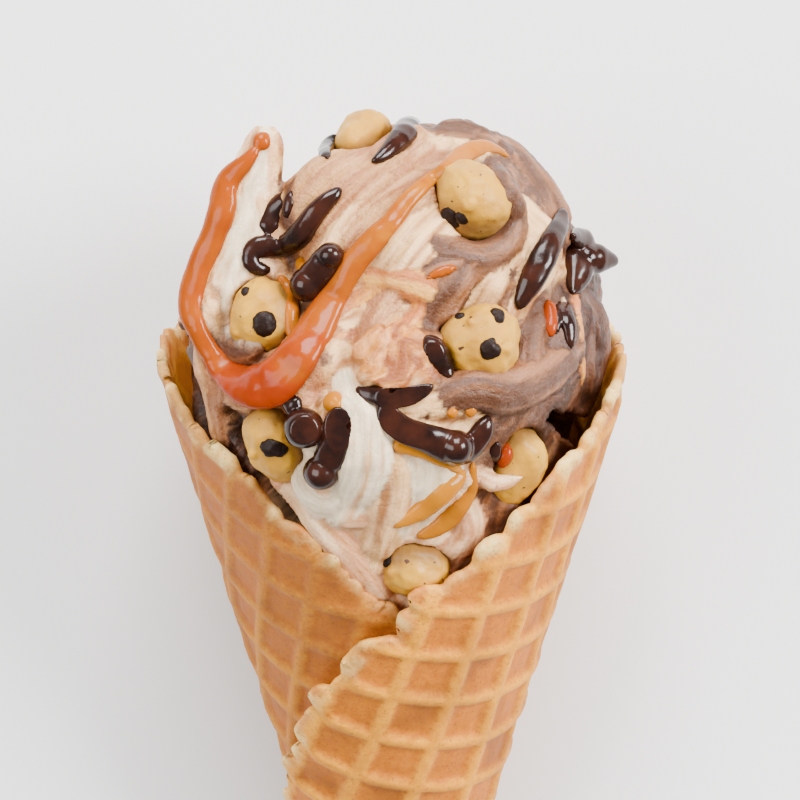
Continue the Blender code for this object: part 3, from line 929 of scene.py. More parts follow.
SWEEPS = (
    sweep(Swirl.MAUVE, -1.6, 0.6, (430, 128, 4.0), (500, 146, 5.0), (532, 178, 5.0), (553, 212, 4.4),
          (566, 244, 3.6)),
    sweep(Swirl.MAUVE, -0.1, 0.8, (492, 168, 2.4), (512, 200, 3.0), (508, 240, 3.2), (480, 258, 3.0),
          (445, 247, 2.2)),
    sweep(Swirl.CREAM, -2.3, 0.6, (440, 218, 4.0), (415, 245, 5.6), (385, 285, 4.0)),
    sweep(Swirl.TOFFEE, -2.1, 0.6, (424, 268, 3.0), (388, 292, 4.6), (358, 313, 3.0)),
    sweep(Swirl.MAUVE, -1.0, 0.6, (500, 266, 3.0), (465, 265, 3.8), (430, 272, 3.6), (400, 300, 2.6)),
    sweep(Swirl.MAUVE, 0.2, 0.6, (468, 268, 2.4), (455, 285, 3.6), (440, 305, 3.8), (435, 327, 3.0)),
    sweep(Swirl.CREAM, -0.7, 0.6, (505, 262, 2.6), (490, 280, 3.4), (480, 302, 2.6)),
    sweep(Swirl.CREAM, -1.3, 0.6, (528, 215, 3.4), (545, 240, 4.2), (535, 270, 3.8), (520, 300, 2.6)),
    sweep(Swirl.CHOCOLATE, -0.6, 0.7, (400, 288, 2.6), (380, 318, 3.4), (372, 342, 2.6)),
    sweep(Swirl.TOFFEE, -0.6, 0.7, (425, 300, 2.4), (415, 325, 3.0), (400, 345, 2.4)),
    sweep(Swirl.MAUVE, -0.3, 0.75, (430, 405, 2.4), (470, 388, 4.2), (510, 392, 4.4), (545, 375, 4.0),
          (575, 350, 3.0)),
    sweep(Swirl.CREAM, -0.4, 0.7, (400, 412, 2.0), (440, 402, 3.2), (480, 408, 2.2)),
    sweep(Swirl.MARSHMALLOW, -0.9, 0.7, (352, 392, 3.4), (362, 430, 5.4), (360, 470, 6.0), (345, 505, 4.0)),
    sweep(Swirl.CREAM, -0.7, 0.7, (385, 440, 2.6), (392, 480, 4.0), (385, 520, 4.2), (375, 560, 3.0)),
    sweep(Swirl.MARSHMALLOW, -2.0, 0.6, (425, 455, 4.4), (428, 480, 6.2), (410, 510, 4.6)),
    sweep(Swirl.MAUVE, -2.0, 0.6, (505, 492, 4.4), (490, 525, 6.6), (470, 560, 5.0)),
    sweep(Swirl.PINK, -0.7, 0.7, (458, 497, 2.2), (470, 525, 3.4), (452, 560, 2.8)),
    sweep(Swirl.MAUVE, -0.5, 0.7, (562, 432, 2.2), (570, 460, 3.2), (553, 490, 3.2), (530, 520, 2.4)),
    sweep(Swirl.PINK, -0.9, 0.7, (300, 500, 3.0), (330, 535, 4.2), (365, 570, 4.2), (385, 600, 3.0)),
    sweep(Swirl.PINK, -0.4, 0.7, (320, 500, 2.0), (350, 515, 2.8), (392, 512, 2.0)),
    sweep(Swirl.CHOCOLATE, -0.4, 0.7, (203, 335, 2.2), (212, 375, 3.2), (220, 415, 3.2), (222, 445, 2.4)),
    sweep(Swirl.MAUVE, 0.3, 0.7, (212, 300, 2.2), (208, 325, 3.4), (222, 346, 3.8), (246, 350, 3.4),
          (262, 345, 1.8)),
    sweep(Swirl.MARSHMALLOW, 0.7, 0.8, (190, 300, 1.0), (196, 320, 1.6), (206, 342, 1.6), (222, 362, 1.4),
          (246, 362, 0.8)),
    sweep(Swirl.MARSHMALLOW, -0.3, 0.7, (345, 408, 2.2), (356, 440, 3.0), (352, 475, 3.4), (330, 500, 3.6),
          (308, 492, 3.2), (300, 478, 2.4), (299, 465, 1.6)),
    sweep(Swirl.COCOA, -0.8, 0.6, (590, 305, 3.0), (596, 340, 4.2), (588, 390, 4.2), (572, 420, 3.0)),
    sweep(Swirl.COCOA, -0.3, 0.7, (560, 300, 2.0), (562, 335, 3.0), (550, 370, 2.2)),
    sweep(Swirl.MAUVE, -0.3, 0.7, (540, 312, 1.8), (530, 345, 2.8), (533, 375, 2.0)),
    sweep(Swirl.PINK, 0.9, 0.8, (480, 478, 2.2), (500, 482, 1.7), (523, 476, 0.6)),
    sweep(Swirl.MARSHMALLOW, 0.5, 0.7, (563, 298, 0.6), (562, 320, 1.3), (564, 342, 1.2), (570, 363, 0.6)),
    sweep(Swirl.TOFFEE, 0.5, 0.7, (576, 293, 0.6), (575, 315, 1.3), (577, 347, 1.4), (582, 379, 0.7)),
    sweep(Swirl.COCOA, 0.5, 0.7, (588, 304, 0.6), (588, 336, 1.4), (587, 374, 1.6), (582, 406, 1.2)),
    sweep(Swirl.TOFFEE, 0.0, 0.6, (379, 278, 1.8), (416, 284, 3.0), (448, 300, 2.2)),
    sweep(Swirl.CREAM, 0.0, 0.6, (352, 321, 1.6), (379, 312, 2.2), (416, 315, 2.0)),
    sweep(Swirl.CHOCOLATE, -4.6, 0.7, (395, 150, 6.0), (345, 185, 8.5), (310, 225, 8.5), (292, 255, 6.0)),
    sweep(Swirl.CHOCOLATE, -2.8, 0.6, (420, 190, 4.0), (385, 215, 5.6), (350, 250, 4.4), (330, 290, 3.0)),
    sweep(Swirl.CREAM, -1.5, 0.6, (370, 195, 1.8), (345, 225, 3.0), (325, 260, 2.2)),
    sweep(Swirl.CREAM, -2.2, 0.6, (165, 72, 4.0), (140, 50, 5.5), (121, 26, 5.5), (112, 4, 4.0),
          placing=Placing.BEARING),
    sweep(Swirl.MAUVE, -2.2, 0.6, (-150, 68, 4.0), (-130, 46, 5.5), (-116, 20, 5.5), (-104, 0, 4.0),
          placing=Placing.BEARING),
    sweep(Swirl.MAUVE, -2.0, 0.6, (175, 56, 4.0), (160, 32, 5.5), (166, 6, 5.0), (178, -12, 3.5),
          placing=Placing.BEARING),
    sweep(Swirl.CREAM, -1.8, 0.6, (-160, 52, 3.5), (-172, 34, 4.5), (-160, 10, 5.0), (-138, -8, 3.5),
          placing=Placing.BEARING),
    sweep(Swirl.COCOA, -1.6, 0.6, (130, 66, 3.0), (106, 46, 4.0), (98, 20, 4.0), (104, -2, 3.0),
          placing=Placing.BEARING),
    sweep(Swirl.PINK, -1.6, 0.6, (-100, 52, 3.0), (-112, 36, 4.0), (-96, 14, 4.0), (-84, -8, 3.0),
          placing=Placing.BEARING),
    sweep(Swirl.CREAM, -1.6, 0.6, (140, 10, 3.0), (134, -8, 4.0), (150, -22, 3.4), placing=Placing.BEARING),
)

PATCHES = (
    Patch(Swirl.CHOCOLATE, 11.0, ((345, 185), (300, 235), (385, 160), (355, 235), (330, 165), (260, 350))),
    Patch(Swirl.CREAM, 6.0, ((415, 240), (400, 275), (560, 245), (535, 255), (340, 400), (370, 430),
                             (335, 500),
                             (380, 480), (420, 412), (450, 410), (450, 135)),
          ((170, 60), (130, 20), (-140, 30))),
    Patch(Swirl.TOFFEE, 5.0, ((385, 300), (410, 290)), ((150, 40),)),
    Patch(Swirl.MAUVE, 8.0, ((465, 262), (440, 285), (530, 200), (520, 160), (545, 320), (500, 398),
                             (470, 380),
                             (485, 515), (500, 560), (480, 590), (570, 450)),
          ((110, 60), (-120, 60), (-110, 10), (180, 20), (150, -10), (100, -25), (-100, -30), (-160, -20),
           (160, -40))),
    Patch(Swirl.COCOA, 7.0, ((575, 335), (592, 370), (560, 400), (590, 330), (215, 400), (230, 440)),
          ((-78, -4), (120, -20), (-130, -10))),
    Patch(Swirl.NOUGAT, 5.5, ((380, 360), (425, 355), (400, 340))),
    Patch(Swirl.MARSHMALLOW, 6.5, ((425, 480), (440, 500), (335, 470)), ((-170, 50),)),
    Patch(Swirl.PINK, 7.0, ((330, 540), (350, 580), (310, 510), (450, 545), (430, 560), (375, 560),
                            (390, 540)),
          ((-150, 10), (120, 50))),
)

# Gaps along the cone's wall: how deep each is pressed in, in mm, and its band; shade is painted into them
# too.
CUTS = (
    (8.0, Band(((172, 345, 2.0), (181, 360, 3.2), (190, 382, 3.2), (199, 408, 3.0), (208, 438, 2.0)), 1.6)),
    (6.0, Band(((234, 420, 1.6), (240, 436, 2.4), (247, 452, 1.6)), 1.6)),
    (4.0, Band(((264, 482, 1.2), (282, 508, 1.7), (306, 532, 1.7), (334, 560, 1.2)), 1.4)),
    (6.0, Band(((556, 420, 1.4), (568, 424, 2.6), (582, 432, 2.8), (590, 440, 2.0)), 1.4)),
    (4.0, Band(((586, 448, 1.8), (570, 474, 1.8), (548, 502, 1.6), (520, 530, 1.2)), 1.4)),
    (4.0, Band(((-92, -8, 1.4), (-100, -12, 1.8), (-112, -16, 1.6)), 1.4, placing=Placing.BEARING)),
)

# Painted shade in the crevices: middle and radius in mm in the standing frame; these spots are only darkened,
# not pressed in.
CREVICE_SHADE_SPOTS = ((-18.5, -9.0, 181.0, 5.0), (-17.5, -13.0, 176.0, 4.0), (-20.6, -8.0, 188.5, 4.2),
            (-21.2, -8.0, 184.0, 4.6))

NOUGAT_LUMPS = ((366, 352, 2.6), (380, 342, 3.0), (400, 352, 3.2), (416, 342, 2.6), (428, 356, 2.6),
                (408, 370, 3.0),
                (384, 370, 2.8), (368, 376, 2.2), (424, 374, 2.4), (398, 334, 2.2), (434, 340, 1.8),
                (392, 384, 2.0))


@dataclass
class Heap:
    """The heap of ice cream: the solid's form, smoothed, with the spatula's sweeps laid over it."""

    core_voxel: float = 0.8
    core_rounds: int = 26
    voxel: float = 0.70
    soften_rounds: int = 2
    streak_depth: float = 0.24
    lump_depth: float = 0.32
    pit_depth: float = 0.35
    dough_nodes: tuple[str, ...] = ()
    # Painted shade at each point, from 0 to 1, for the gaps and crevices.
    painted_shade: Array = field(init=False)

    def core(self) -> Shape:
        """The solid heap without its facets."""
        return Shape.of_node("ice_cream").united(self.core_voxel).relaxed(self.core_rounds)

    def build(self) -> Skin:
        """Makes the heap's pieces.

        Returns:
            The finished skin, which the sauces are poured over.
        """
        core = self.core()
        dough = [Shape.of_node(node) for node in self.dough_nodes]
        ground = Skin(Shape.joined([core, *dough]))
        tracks = [ground.track(row.band) for row in SWEEPS]
        lumps = [self.lump(ground, *row) for row in NOUGAT_LUMPS]
        whole = Shape.joined([core, *[track.tube() for track in tracks], *lumps]).united(self.voxel)
        heap = whole.relaxed(self.soften_rounds, grow=0.3)
        self.cut(ground, heap)
        tint, wet, flow = self.painted(ground, heap, tracks)
        heap.points = heap.points + heap.normals * self.relief(heap, flow, wet)[:, None]
        heap.piece("ice_cream_heap", IceCream(), "ice_cream", ("ice_cream",), tint=tint, wet=wet, flow=flow)
        return Skin(Shape.joined([heap, *dough]))

    def lump(self, ground: Skin, column: float, row: float, radius: float) -> Shape:
        """One rough lump of the nougat-like spot under the scoop's folds."""
        place, normal = ground.by_photo(column, row)
        return ball(np.array(place + normal * (0.1 * radius)), np.full(3, radius))

    def cut(self, ground: Skin, heap: Shape) -> None:
        """Presses the gaps into the skin, mostly along the cone's wall, and marks where shade is painted: in
        those gaps and in the crevices.

        Args:
            ground: The skin under the sweeps.
            heap: The fine skin, which this changes.
        """
        self.painted_shade = np.zeros(len(heap.points))
        normals = heap.normals
        for depth, band in CUTS:
            out = ground.track(band).local(heap.points)[2]
            inside = eased(out, 1.25, 0.5)
            self.painted_shade = np.maximum(self.painted_shade, inside)
            heap.points = heap.points - normals * (depth * inside)[:, None]
        # Painted shade only, in the crevices.
        for *middle, radius in CREVICE_SHADE_SPOTS:
            away = np.linalg.norm(heap.points - middle, axis=1) / radius
            self.painted_shade = np.maximum(self.painted_shade, eased(away, 1.0, 0.4))

    def painted(self, ground: Skin, heap: Shape, tracks: list[Track]) -> tuple[Array, Array, Array]:
        """Works out the colour, with painted shade in the gaps and crevices, and the wetness and flow at each
        point.

        Args:
            ground: The skin under the sweeps.
            heap: The fine skin.
            tracks: Each sweep's line.

        Returns:
            Linear colours, wetness from 0 to 1, and where the streak noise is read, in mm.
        """
        swirls = list(Swirl)
        mains = np.array([linear(swirl.value.main) for swirl in swirls])
        streaks = np.array([linear(swirl.value.streak) for swirl in swirls])
        shares = np.array([swirl.value.share for swirl in swirls])
        wets = np.array([swirl.value.wet for swirl in swirls])
        grain = Grain(5)
        points = heap.points
        warp = np.stack([grain.rough(points + 100 * k, 9.0, 3) for k in range(3)], axis=1) * 3.6
        weights = np.full((len(points), len(swirls)), 1e-4)
        for patch in PATCHES:
            spots = [ground.by_photo(*place)[0] for place in patch.seen]
            spots += [ground.by_bearing(*place)[0] for place in patch.behind]
            for centre in np.array(spots):
                away = np.linalg.norm(points + warp - centre, axis=1) / patch.radius
                weights[:, swirls.index(patch.swirl)] += np.exp(-2.2 * away**2)
        flow = self.drift(points + warp * 0.6)
        nearest = np.full(len(points), 1.18)
        for k, (row, track) in enumerate(zip(SWEEPS, tracks)):
            close = np.flatnonzero(np.abs(points - track.centres.mean(axis=0)).max(axis=1) < 40)
            along, across, out = track.local(points[close])
            inside = out < nearest[close]
            chosen = close[inside]
            nearest[chosen] = out[inside]
            blend = eased(out[inside], 1.18, 1.0)[:, None]
            own = np.zeros(len(swirls))
            own[swirls.index(row.swirl)] = 1
            total = weights[chosen].sum(axis=1, keepdims=True)
            weights[chosen] = weights[chosen] / total * (1 - blend) + own * blend
            local = np.stack((along[inside] / 9, across[inside], np.full(len(chosen), 20.0 * k)), axis=1)
            flow[chosen] = local
        self.paint_fin(points, weights, flow, swirls)
        weights /= weights.sum(axis=1, keepdims=True)
        weights = weights**1.9
        weights /= weights.sum(axis=1, keepdims=True)
        streak = grain.rough(flow, 1.9, 3)
        share = eased(streak + 1.6 * (weights @ shares) - 0.8, -0.35, 0.45)[:, None]
        tint = (weights @ mains) * (1 - share) + (weights @ streaks) * share
        # Painted shade: the gaps and crevices are darkened towards near black brown.
        dark = eased(self.painted_shade + 0.15 * grain.at(points, 2.0), 0.25, 0.8)[:, None]
        tint = tint * (1 - dark) + np.array(linear("24110C")) * dark
        wet = np.clip(weights @ wets + 0.15 * grain.at(points, 4.0), 0, 1)
        return tint, wet, flow

    def drift(self, points: Array) -> Array:
        """Where the streak noise is read between the sweeps: long along the ribbon's fall."""
        along = Vector((-0.70, 0.0, -0.71))
        across = along.cross(Vector((0, 1, 0)))
        basis = np.array([along, across, Vector((0, 1, 0))])
        return points @ basis.T * (1 / 8, 1, 1 / 2)

    def paint_fin(self, points: Array, weights: Array, flow: Array, swirls: list[Swirl]) -> None:
        """Colours the fin in upright stripes, from mauve at its left to cream and pink at its right.

        Args:
            points: The heap's points.
            weights: Each point's share of each kind of ice cream, which this changes.
            flow: Where each point's streak noise is read, which this changes.
            swirls: The kinds in the order of the shares.
        """
        z = points[:, 2]
        axis = np.interp(z, (160, 172, 181, 190, 197.5, 201.5), (-23.5, -26.5, -26.2, -24.8, -22.8, -21.8))
        wide = np.interp(z, (160, 172, 181, 190, 197.5, 201.5), (12.5, 10.6, 7.6, 6.0, 4.4, 2.6))
        across = (points[:, 0] - axis) / wide
        grain = Grain(17)
        across = across + 0.22 * grain.rough(points * (1, 1, 0.25), 3.0, 2)
        on_fin = (np.abs(across) < 1.3) & (z > 165) & (points[:, 1] < 2)
        stripes = ((-1.1, Swirl.PINK), (-0.55, Swirl.CREAM), (-0.2, Swirl.MARSHMALLOW),
                   (0.2, Swirl.MARSHMALLOW), (0.5, Swirl.PINK), (0.8, Swirl.CREAM), (1.1, Swirl.MAUVE))
        fade = eased(z, 163, 171)
        for middle, swirl in stripes:
            near = np.exp(-((across - middle) / 0.16)**2) * on_fin
            blend = np.clip(near, 0, 1) * fade
            weights *= (1 - blend)[:, None]
            weights[:, swirls.index(swirl)] += blend
        upright = np.stack((z / 9, across * wide, points[:, 1] * 0.5), axis=1)
        flow[on_fin] = upright[on_fin]

    def relief(self, heap: Shape, flow: Array, wet: Array) -> Array:
        """Depth of the streaks, lumps and pits.

        Args:
            heap: The fine skin.
            flow: Where the streak noise is read.
            wet: Wetness at each point.

        Returns:
            How far each point moves out, in mm.
        """
        grain = Grain(23)
        dry = 1 - eased(wet, 0.1, 0.5)
        pits = eased(grain.rough(heap.points, 1.5, 2), 0.28, 0.75)
        return (self.streak_depth * grain.rough(flow, 1.5, 3)
                + self.lump_depth * grain.rough(heap.points, 6.0, 2)
                + 0.1 * grain.at(heap.points, 1.6) - self.pit_depth * pits * (0.35 + 0.65 * dry))


@dataclass(frozen=True)
class Pour:
    """One pour of sauce: a band, and how deep its colour is from 0, thin, to 1."""

    band: Band
    depth: float = 0.0


@dataclass(frozen=True)
class Drop:
    """A round drop of sauce: two numbers that place it, and its lift and radius in mm."""

    first: float
    second: float
    lift: float
    radius: float
    placing: Placing = Placing.PHOTO


def pour(depth: float, lift: float, flatness: float, *route: Row, placing: Placing = Placing.PHOTO) -> Pour:
    """Writes a pour on one line.

    Args:
        depth: How deep its colour is.
        lift: How far its middle stands over the heap's skin in mm.
        flatness: Its half thickness over its half width.
        *route: Two numbers that place it and its half width, at each point.
        placing: How the route is given.

    Returns:
        The pour.
    """
    return Pour(Band(route, flatness, lift, placing), depth)


CARAMEL_POURS = (
    pour(0.2, 0.1, 0.5, (510, 158, 0.5), (497, 149, 0.8), (485, 146, 1.3), (470, 150, 1.7), (456, 160, 1.6),
         (445, 170, 1.3), (434, 177, 1.2), (420, 188, 1.4), (403, 206, 1.6), (388, 226, 1.8)),
    pour(0.45, 0.1, 0.5, (420, 188, 1.2), (403, 206, 1.6), (388, 226, 1.9), (368, 246, 2.1), (350, 268, 2.4),
         (337, 290, 2.6), (327, 310, 2.8), (318, 328, 3.2), (308, 342, 3.4), (296, 360, 3.4)),
    pour(1.0, 0.4, 0.45, (200, 332, 1.0), (206, 345, 1.5), (213, 357, 2.0), (222, 368, 2.6), (234, 378, 3.3),
         (250, 386, 3.9), (266, 387, 4.1), (281, 378, 4.1), (296, 360, 3.9), (308, 340, 3.5), (318, 322, 3.0),
         (327, 305, 2.4), (337, 289, 1.6)),
    pour(0.65, 0.6, 0.6, (258, 147, 0.7), (247, 162, 1.3), (234, 174, 1.9), (226, 188, 2.4), (223, 211, 2.6),
         (215, 234, 2.4), (204, 258, 2.3), (197, 278, 2.4), (193, 294, 2.4), (192, 311, 2.2), (199, 331, 1.9),
         (209, 350, 1.8), (217, 363, 1.6)),
    pour(0.65, 0.3, 0.6, (268, 134, 0.7), (262, 141, 1.6), (255, 149, 0.9)),
    pour(0.0, 0.2, 0.5, (393, 446, 1.0), (403, 445, 1.4), (415, 447, 1.6), (431, 453, 1.4), (447, 463, 1.0),
         (462, 472, 0.7)),
    pour(0.05, 0.2, 0.5, (466, 470, 0.8), (456, 482, 1.4), (441, 495, 1.9), (424, 509, 1.8), (406, 520, 1.1),
         (393, 527, 0.5)),
    pour(0.15, 0.2, 0.5, (472, 462, 0.6), (473, 485, 0.9), (464, 502, 1.4), (447, 519, 1.9), (430, 531, 1.4),
         (416, 537, 0.5)),
    pour(0.9, 0.2, 0.6, (548, 300, 0.8), (550, 318, 1.4), (551, 337, 0.8)),
    pour(0.95, 0.4, 0.7, (508, 444, 0.6), (506, 455, 1.3), (501, 468, 0.7)),
    pour(0.25, 0.1, 0.6, (447, 413, 0.7), (452, 413, 1.1), (458, 412, 0.7)),
    pour(0.25, 0.1, 0.6, (466, 411, 0.6), (471, 411, 1.2), (476, 412, 0.6)),
    pour(0.1, 0.3, 0.8, (327, 396, 1.0), (333, 402, 1.9), (340, 406, 1.0)),
    pour(0.15, 0.2, 0.6, (301, 257, 0.6), (302, 264, 1.1), (303, 272, 0.6)),
    pour(0.35, 0.2, 0.6, (279, 275, 0.6), (289, 294, 1.3), (292, 317, 1.3), (290, 338, 1.0)),
    pour(0.6, 0.0, 0.5, (426, 278, 0.4), (440, 272, 0.8), (457, 267, 0.5)),
)

FUDGE_POURS = (
    pour(1, 0.3, 0.55, (341, 188, 0.5), (333, 196, 1.2), (322, 206, 1.6), (313, 216, 1.9), (305, 228, 2.1),
         (297, 239, 2.1), (284, 246, 2.0), (270, 246, 2.0), (258, 246, 1.9), (250, 253, 1.5), (250, 264, 1.4),
         (258, 270, 1.2), (270, 270, 0.7)),
    pour(1, 0.25, 0.55, (335, 250, 1.8), (327, 260, 2.6), (320, 270, 2.6), (310, 281, 2.9), (303, 290, 1.6)),
    pour(1, -0.25, 0.55, (283, 192, 1.0), (277, 205, 1.6), (271, 220, 2.0), (268, 234, 2.0)),
    pour(1, 0.1, 0.55, (291, 190, 0.5), (289, 203, 1.1), (286, 218, 0.6)),
    pour(1, 0.3, 0.7, (410, 116, 1.6), (409, 127, 2.3), (400, 139, 2.1), (390, 150, 1.6), (380, 158, 1.0),
         (371, 163, 0.5)),
    pour(1, 0.2, 0.65, (332, 132, 0.7), (327, 143, 1.5), (325, 154, 1.2), (328, 159, 0.6)),
    pour(1, 0.2, 0.55, (563, 208, 1.0), (562, 218, 1.5), (556, 232, 1.9), (549, 247, 2.2), (541, 262, 2.4),
         (533, 278, 2.3), (525, 293, 1.7), (518, 309, 0.9)),
    pour(1, 1.0, 0.75, (570, 236, 1.6), (580, 246, 2.8), (588, 254, 2.6)),
    pour(1, 0.4, 0.65, (574, 246, 2.8), (578, 262, 3.2), (576, 278, 2.4), (572, 294, 1.0)),
    pour(1, 0.05, 0.55, (568, 302, 0.6), (569, 325, 1.3), (571, 350, 0.5)),
    pour(1, 0.05, 0.55, (560, 300, 0.4), (557, 318, 0.8), (556, 335, 0.4)),
    pour(1, 0.2, 0.55, (379, 404, 1.0), (385, 413, 1.9), (395, 424, 2.2), (410, 432, 2.3), (425, 437, 2.5),
         (440, 443, 2.9), (455, 448, 3.2), (468, 448, 2.9), (477, 440, 2.3), (484, 428, 1.8), (488,
                                                                                               415, 0.9)),
    pour(1, 0.2, 0.65, (281, 397, 0.7), (290, 401, 1.6), (299, 410, 2.6)),
    pour(1, 0.3, 0.7, (338, 407, 1.4), (339, 418, 2.3), (338, 432, 2.6), (335, 446, 2.6), (329, 460, 2.8),
         (323, 471, 2.6)),
    pour(1, 0.1, 0.55, (356, 388, 0.6), (366, 393, 1.5), (380, 397, 1.7), (397, 398, 1.7), (412, 395, 1.6),
         (425, 390, 1.1), (434, 384, 0.5)),
    pour(1, 0.1, 0.55, (425, 336, 0.8), (431, 343, 1.7), (438, 354, 2.1), (444, 366, 1.7), (450, 378, 0.9)),
    pour(1, 0.1, 0.55, (497, 441, 0.6), (494, 452, 1.2), (496, 464, 0.8)),
)

FUDGE_DROPS = (
    Drop(305, 428, 0.6, 3.5), Drop(322, 472, 0.3, 3.1), Drop(330, 256, 0.4, 2.4), Drop(307, 284, 0.5, 3.0),
    Drop(456, 447, 0.4, 3.0),
    Drop(85, 22, 0.2, 3.2, Placing.BEARING), Drop(86, 21, 1.0, 2.8, Placing.BEARING),
    Drop(87, 20, 1.8, 2.3, Placing.BEARING), Drop(87.5, 19.3, 2.5, 1.8, Placing.BEARING),
    Drop(88, 18.7, 3.1, 1.4, Placing.BEARING), Drop(88.3, 18.2, 3.6, 1.0, Placing.BEARING),
)


@dataclass
class Sauces:
    """The fudge and the caramel, poured over the finished heap."""

    skin: Skin
    voxel: float = 0.34
    soften_rounds: int = 9
    thickening: float = 0.22

    def fused(self, pours: tuple[Pour, ...], drops: tuple[Drop, ...] = ()) -> tuple[Shape, list[Track]]:
        """Melts pours of one sauce into one body.

        Args:
            pours: The pours.
            drops: Round drops that join them.

        Returns:
            The sauce, and each pour's line.
        """
        tracks = [self.skin.track(row.band, 1.2) for row in pours]
        bodies = [track.tube() for track in tracks]
        for drop in drops:
            place, normal = self.skin.found(drop.placing, drop.first, drop.second)
            bodies.append(ball(np.array(place + normal * drop.lift), np.full(3, drop.radius)))
        sauce = Shape.joined(bodies).united(self.voxel).relaxed(self.soften_rounds, grow=0.45)
        swell = self.thickening + 0.17 * Grain(41).rough(sauce.points, 5.0, 2)
        sauce.points = sauce.points + sauce.normals * swell[:, None]
        return sauce, tracks

    def build(self) -> None:
        """Makes both sauces."""
        fudge, _ = self.fused(FUDGE_POURS, FUDGE_DROPS)
        fudge.piece("fudge", Fudge(), "ice_cream", ())
        caramel, tracks = self.fused(CARAMEL_POURS)
        depth = self.depths(caramel, tracks)
        caramel.piece("caramel", Caramel(), "ice_cream", (), depth=depth)

    def depths(self, caramel: Shape, tracks: list[Track]) -> Array:
        """How deep the caramel's colour is at each point.

        Args:
            caramel: The caramel.
            tracks: Each pour's line.

        Returns:
            Values from 0, thin, to 1, deep.
        """
        away = np.stack([track.local(caramel.points)[2] for track in tracks], axis=1)
        share = np.exp(-3 * np.minimum(away, 6)**2) + 1e-9
        wanted = np.array([row.depth for row in CARAMEL_POURS])
        return (share @ wanted) / share.sum(axis=1)


@dataclass(frozen=True)
class ChipSpot:
    """A chocolate chip: its place in the photograph in pixels, and half size in mm."""

    column: float
    row: float
    size: float


@dataclass
class Chunk:
    """A chunk of cookie dough with the chips that show in it."""

    node: str
    chips: tuple[ChipSpot, ...]
    seed: int
    voxel: float = 0.3
    rounds: int = 45

    def build(self) -> None:
        """Makes the chunk and its chips."""
        rough = Shape.of_node(self.node).united(self.voxel).relaxed(self.rounds)
        grain = Grain(self.seed)
        swell = 0.3 * grain.rough(rough.points, 4.5, 2) + 0.06 * grain.at(rough.points, 1.2)
        rough.points = rough.points + rough.normals * swell[:, None]
        middle = rough.points.mean(axis=0)
        outward = (Vector(middle) - HEAP_CENTRE).normalized()
        depth = (rough.points - middle) @ np.array(outward)
        # Painted shade: how far each point lies on the side sunk into the ice cream, which the material
        # darkens.
        sunk = eased(depth, depth.max() * 0.45, -depth.max() * 0.2)
        rough.piece(f"{self.node}_chunk", Dough(), "cookie_dough", (self.node,), sunk=sunk)
        if self.chips:
            skin = Skin(rough)
            chips = Shape.joined([self.chip(skin, spot, k) for k, spot in enumerate(self.chips)])
            chips.piece(f"{self.node}_chips", Chip(), "cookie_dough", ())

    def chip(self, skin: Skin, spot: ChipSpot, number: int) -> Shape:
        """A rough chip, half sunk in the chunk.

        Args:
            skin: The chunk's skin.
            spot: Where the chip lies.
            number: Which of the chunk's chips it is.

        Returns:
            The chip.
        """
        place, out = skin.by_photo(spot.column, spot.row)
        shape = ball(np.zeros(3), np.full(3, spot.size * 1.12), 4)
        grain = Grain(self.seed * 10 + number)
        swell = 0.22 * spot.size * grain.rough(shape.points + 7 * number, spot.size * 1.5, 3)
        rough = shape.points + shape.normals * swell[:, None]
        flat = rough - np.outer(rough @ np.array(out), np.array(out)) * 0.45
        shape.points = flat + np.array(place - out * (0.3 * spot.size))
        return shape


CHUNKS = (
    Chunk("dough_top", (), 1),
    Chunk("dough_upper_right", (ChipSpot(451, 216, 2.0), ChipSpot(462, 218, 1.2)), 2),
    Chunk("dough_left", (ChipSpot(264, 324, 2.3), ChipSpot(246, 292, 1.0)), 3),
    Chunk("dough_right", (ChipSpot(489, 348, 1.9), ChipSpot(497, 316, 1.4), ChipSpot(460, 317, 0.9)), 4),
    Chunk("dough_lower_left", (ChipSpot(266, 446, 1.2), ChipSpot(272, 448, 1.6), ChipSpot(280, 450, 1.3)), 5),
    Chunk("dough_lower_right", (), 6),
    Chunk("dough_bottom", (ChipSpot(389, 556, 1.9),), 7),
)


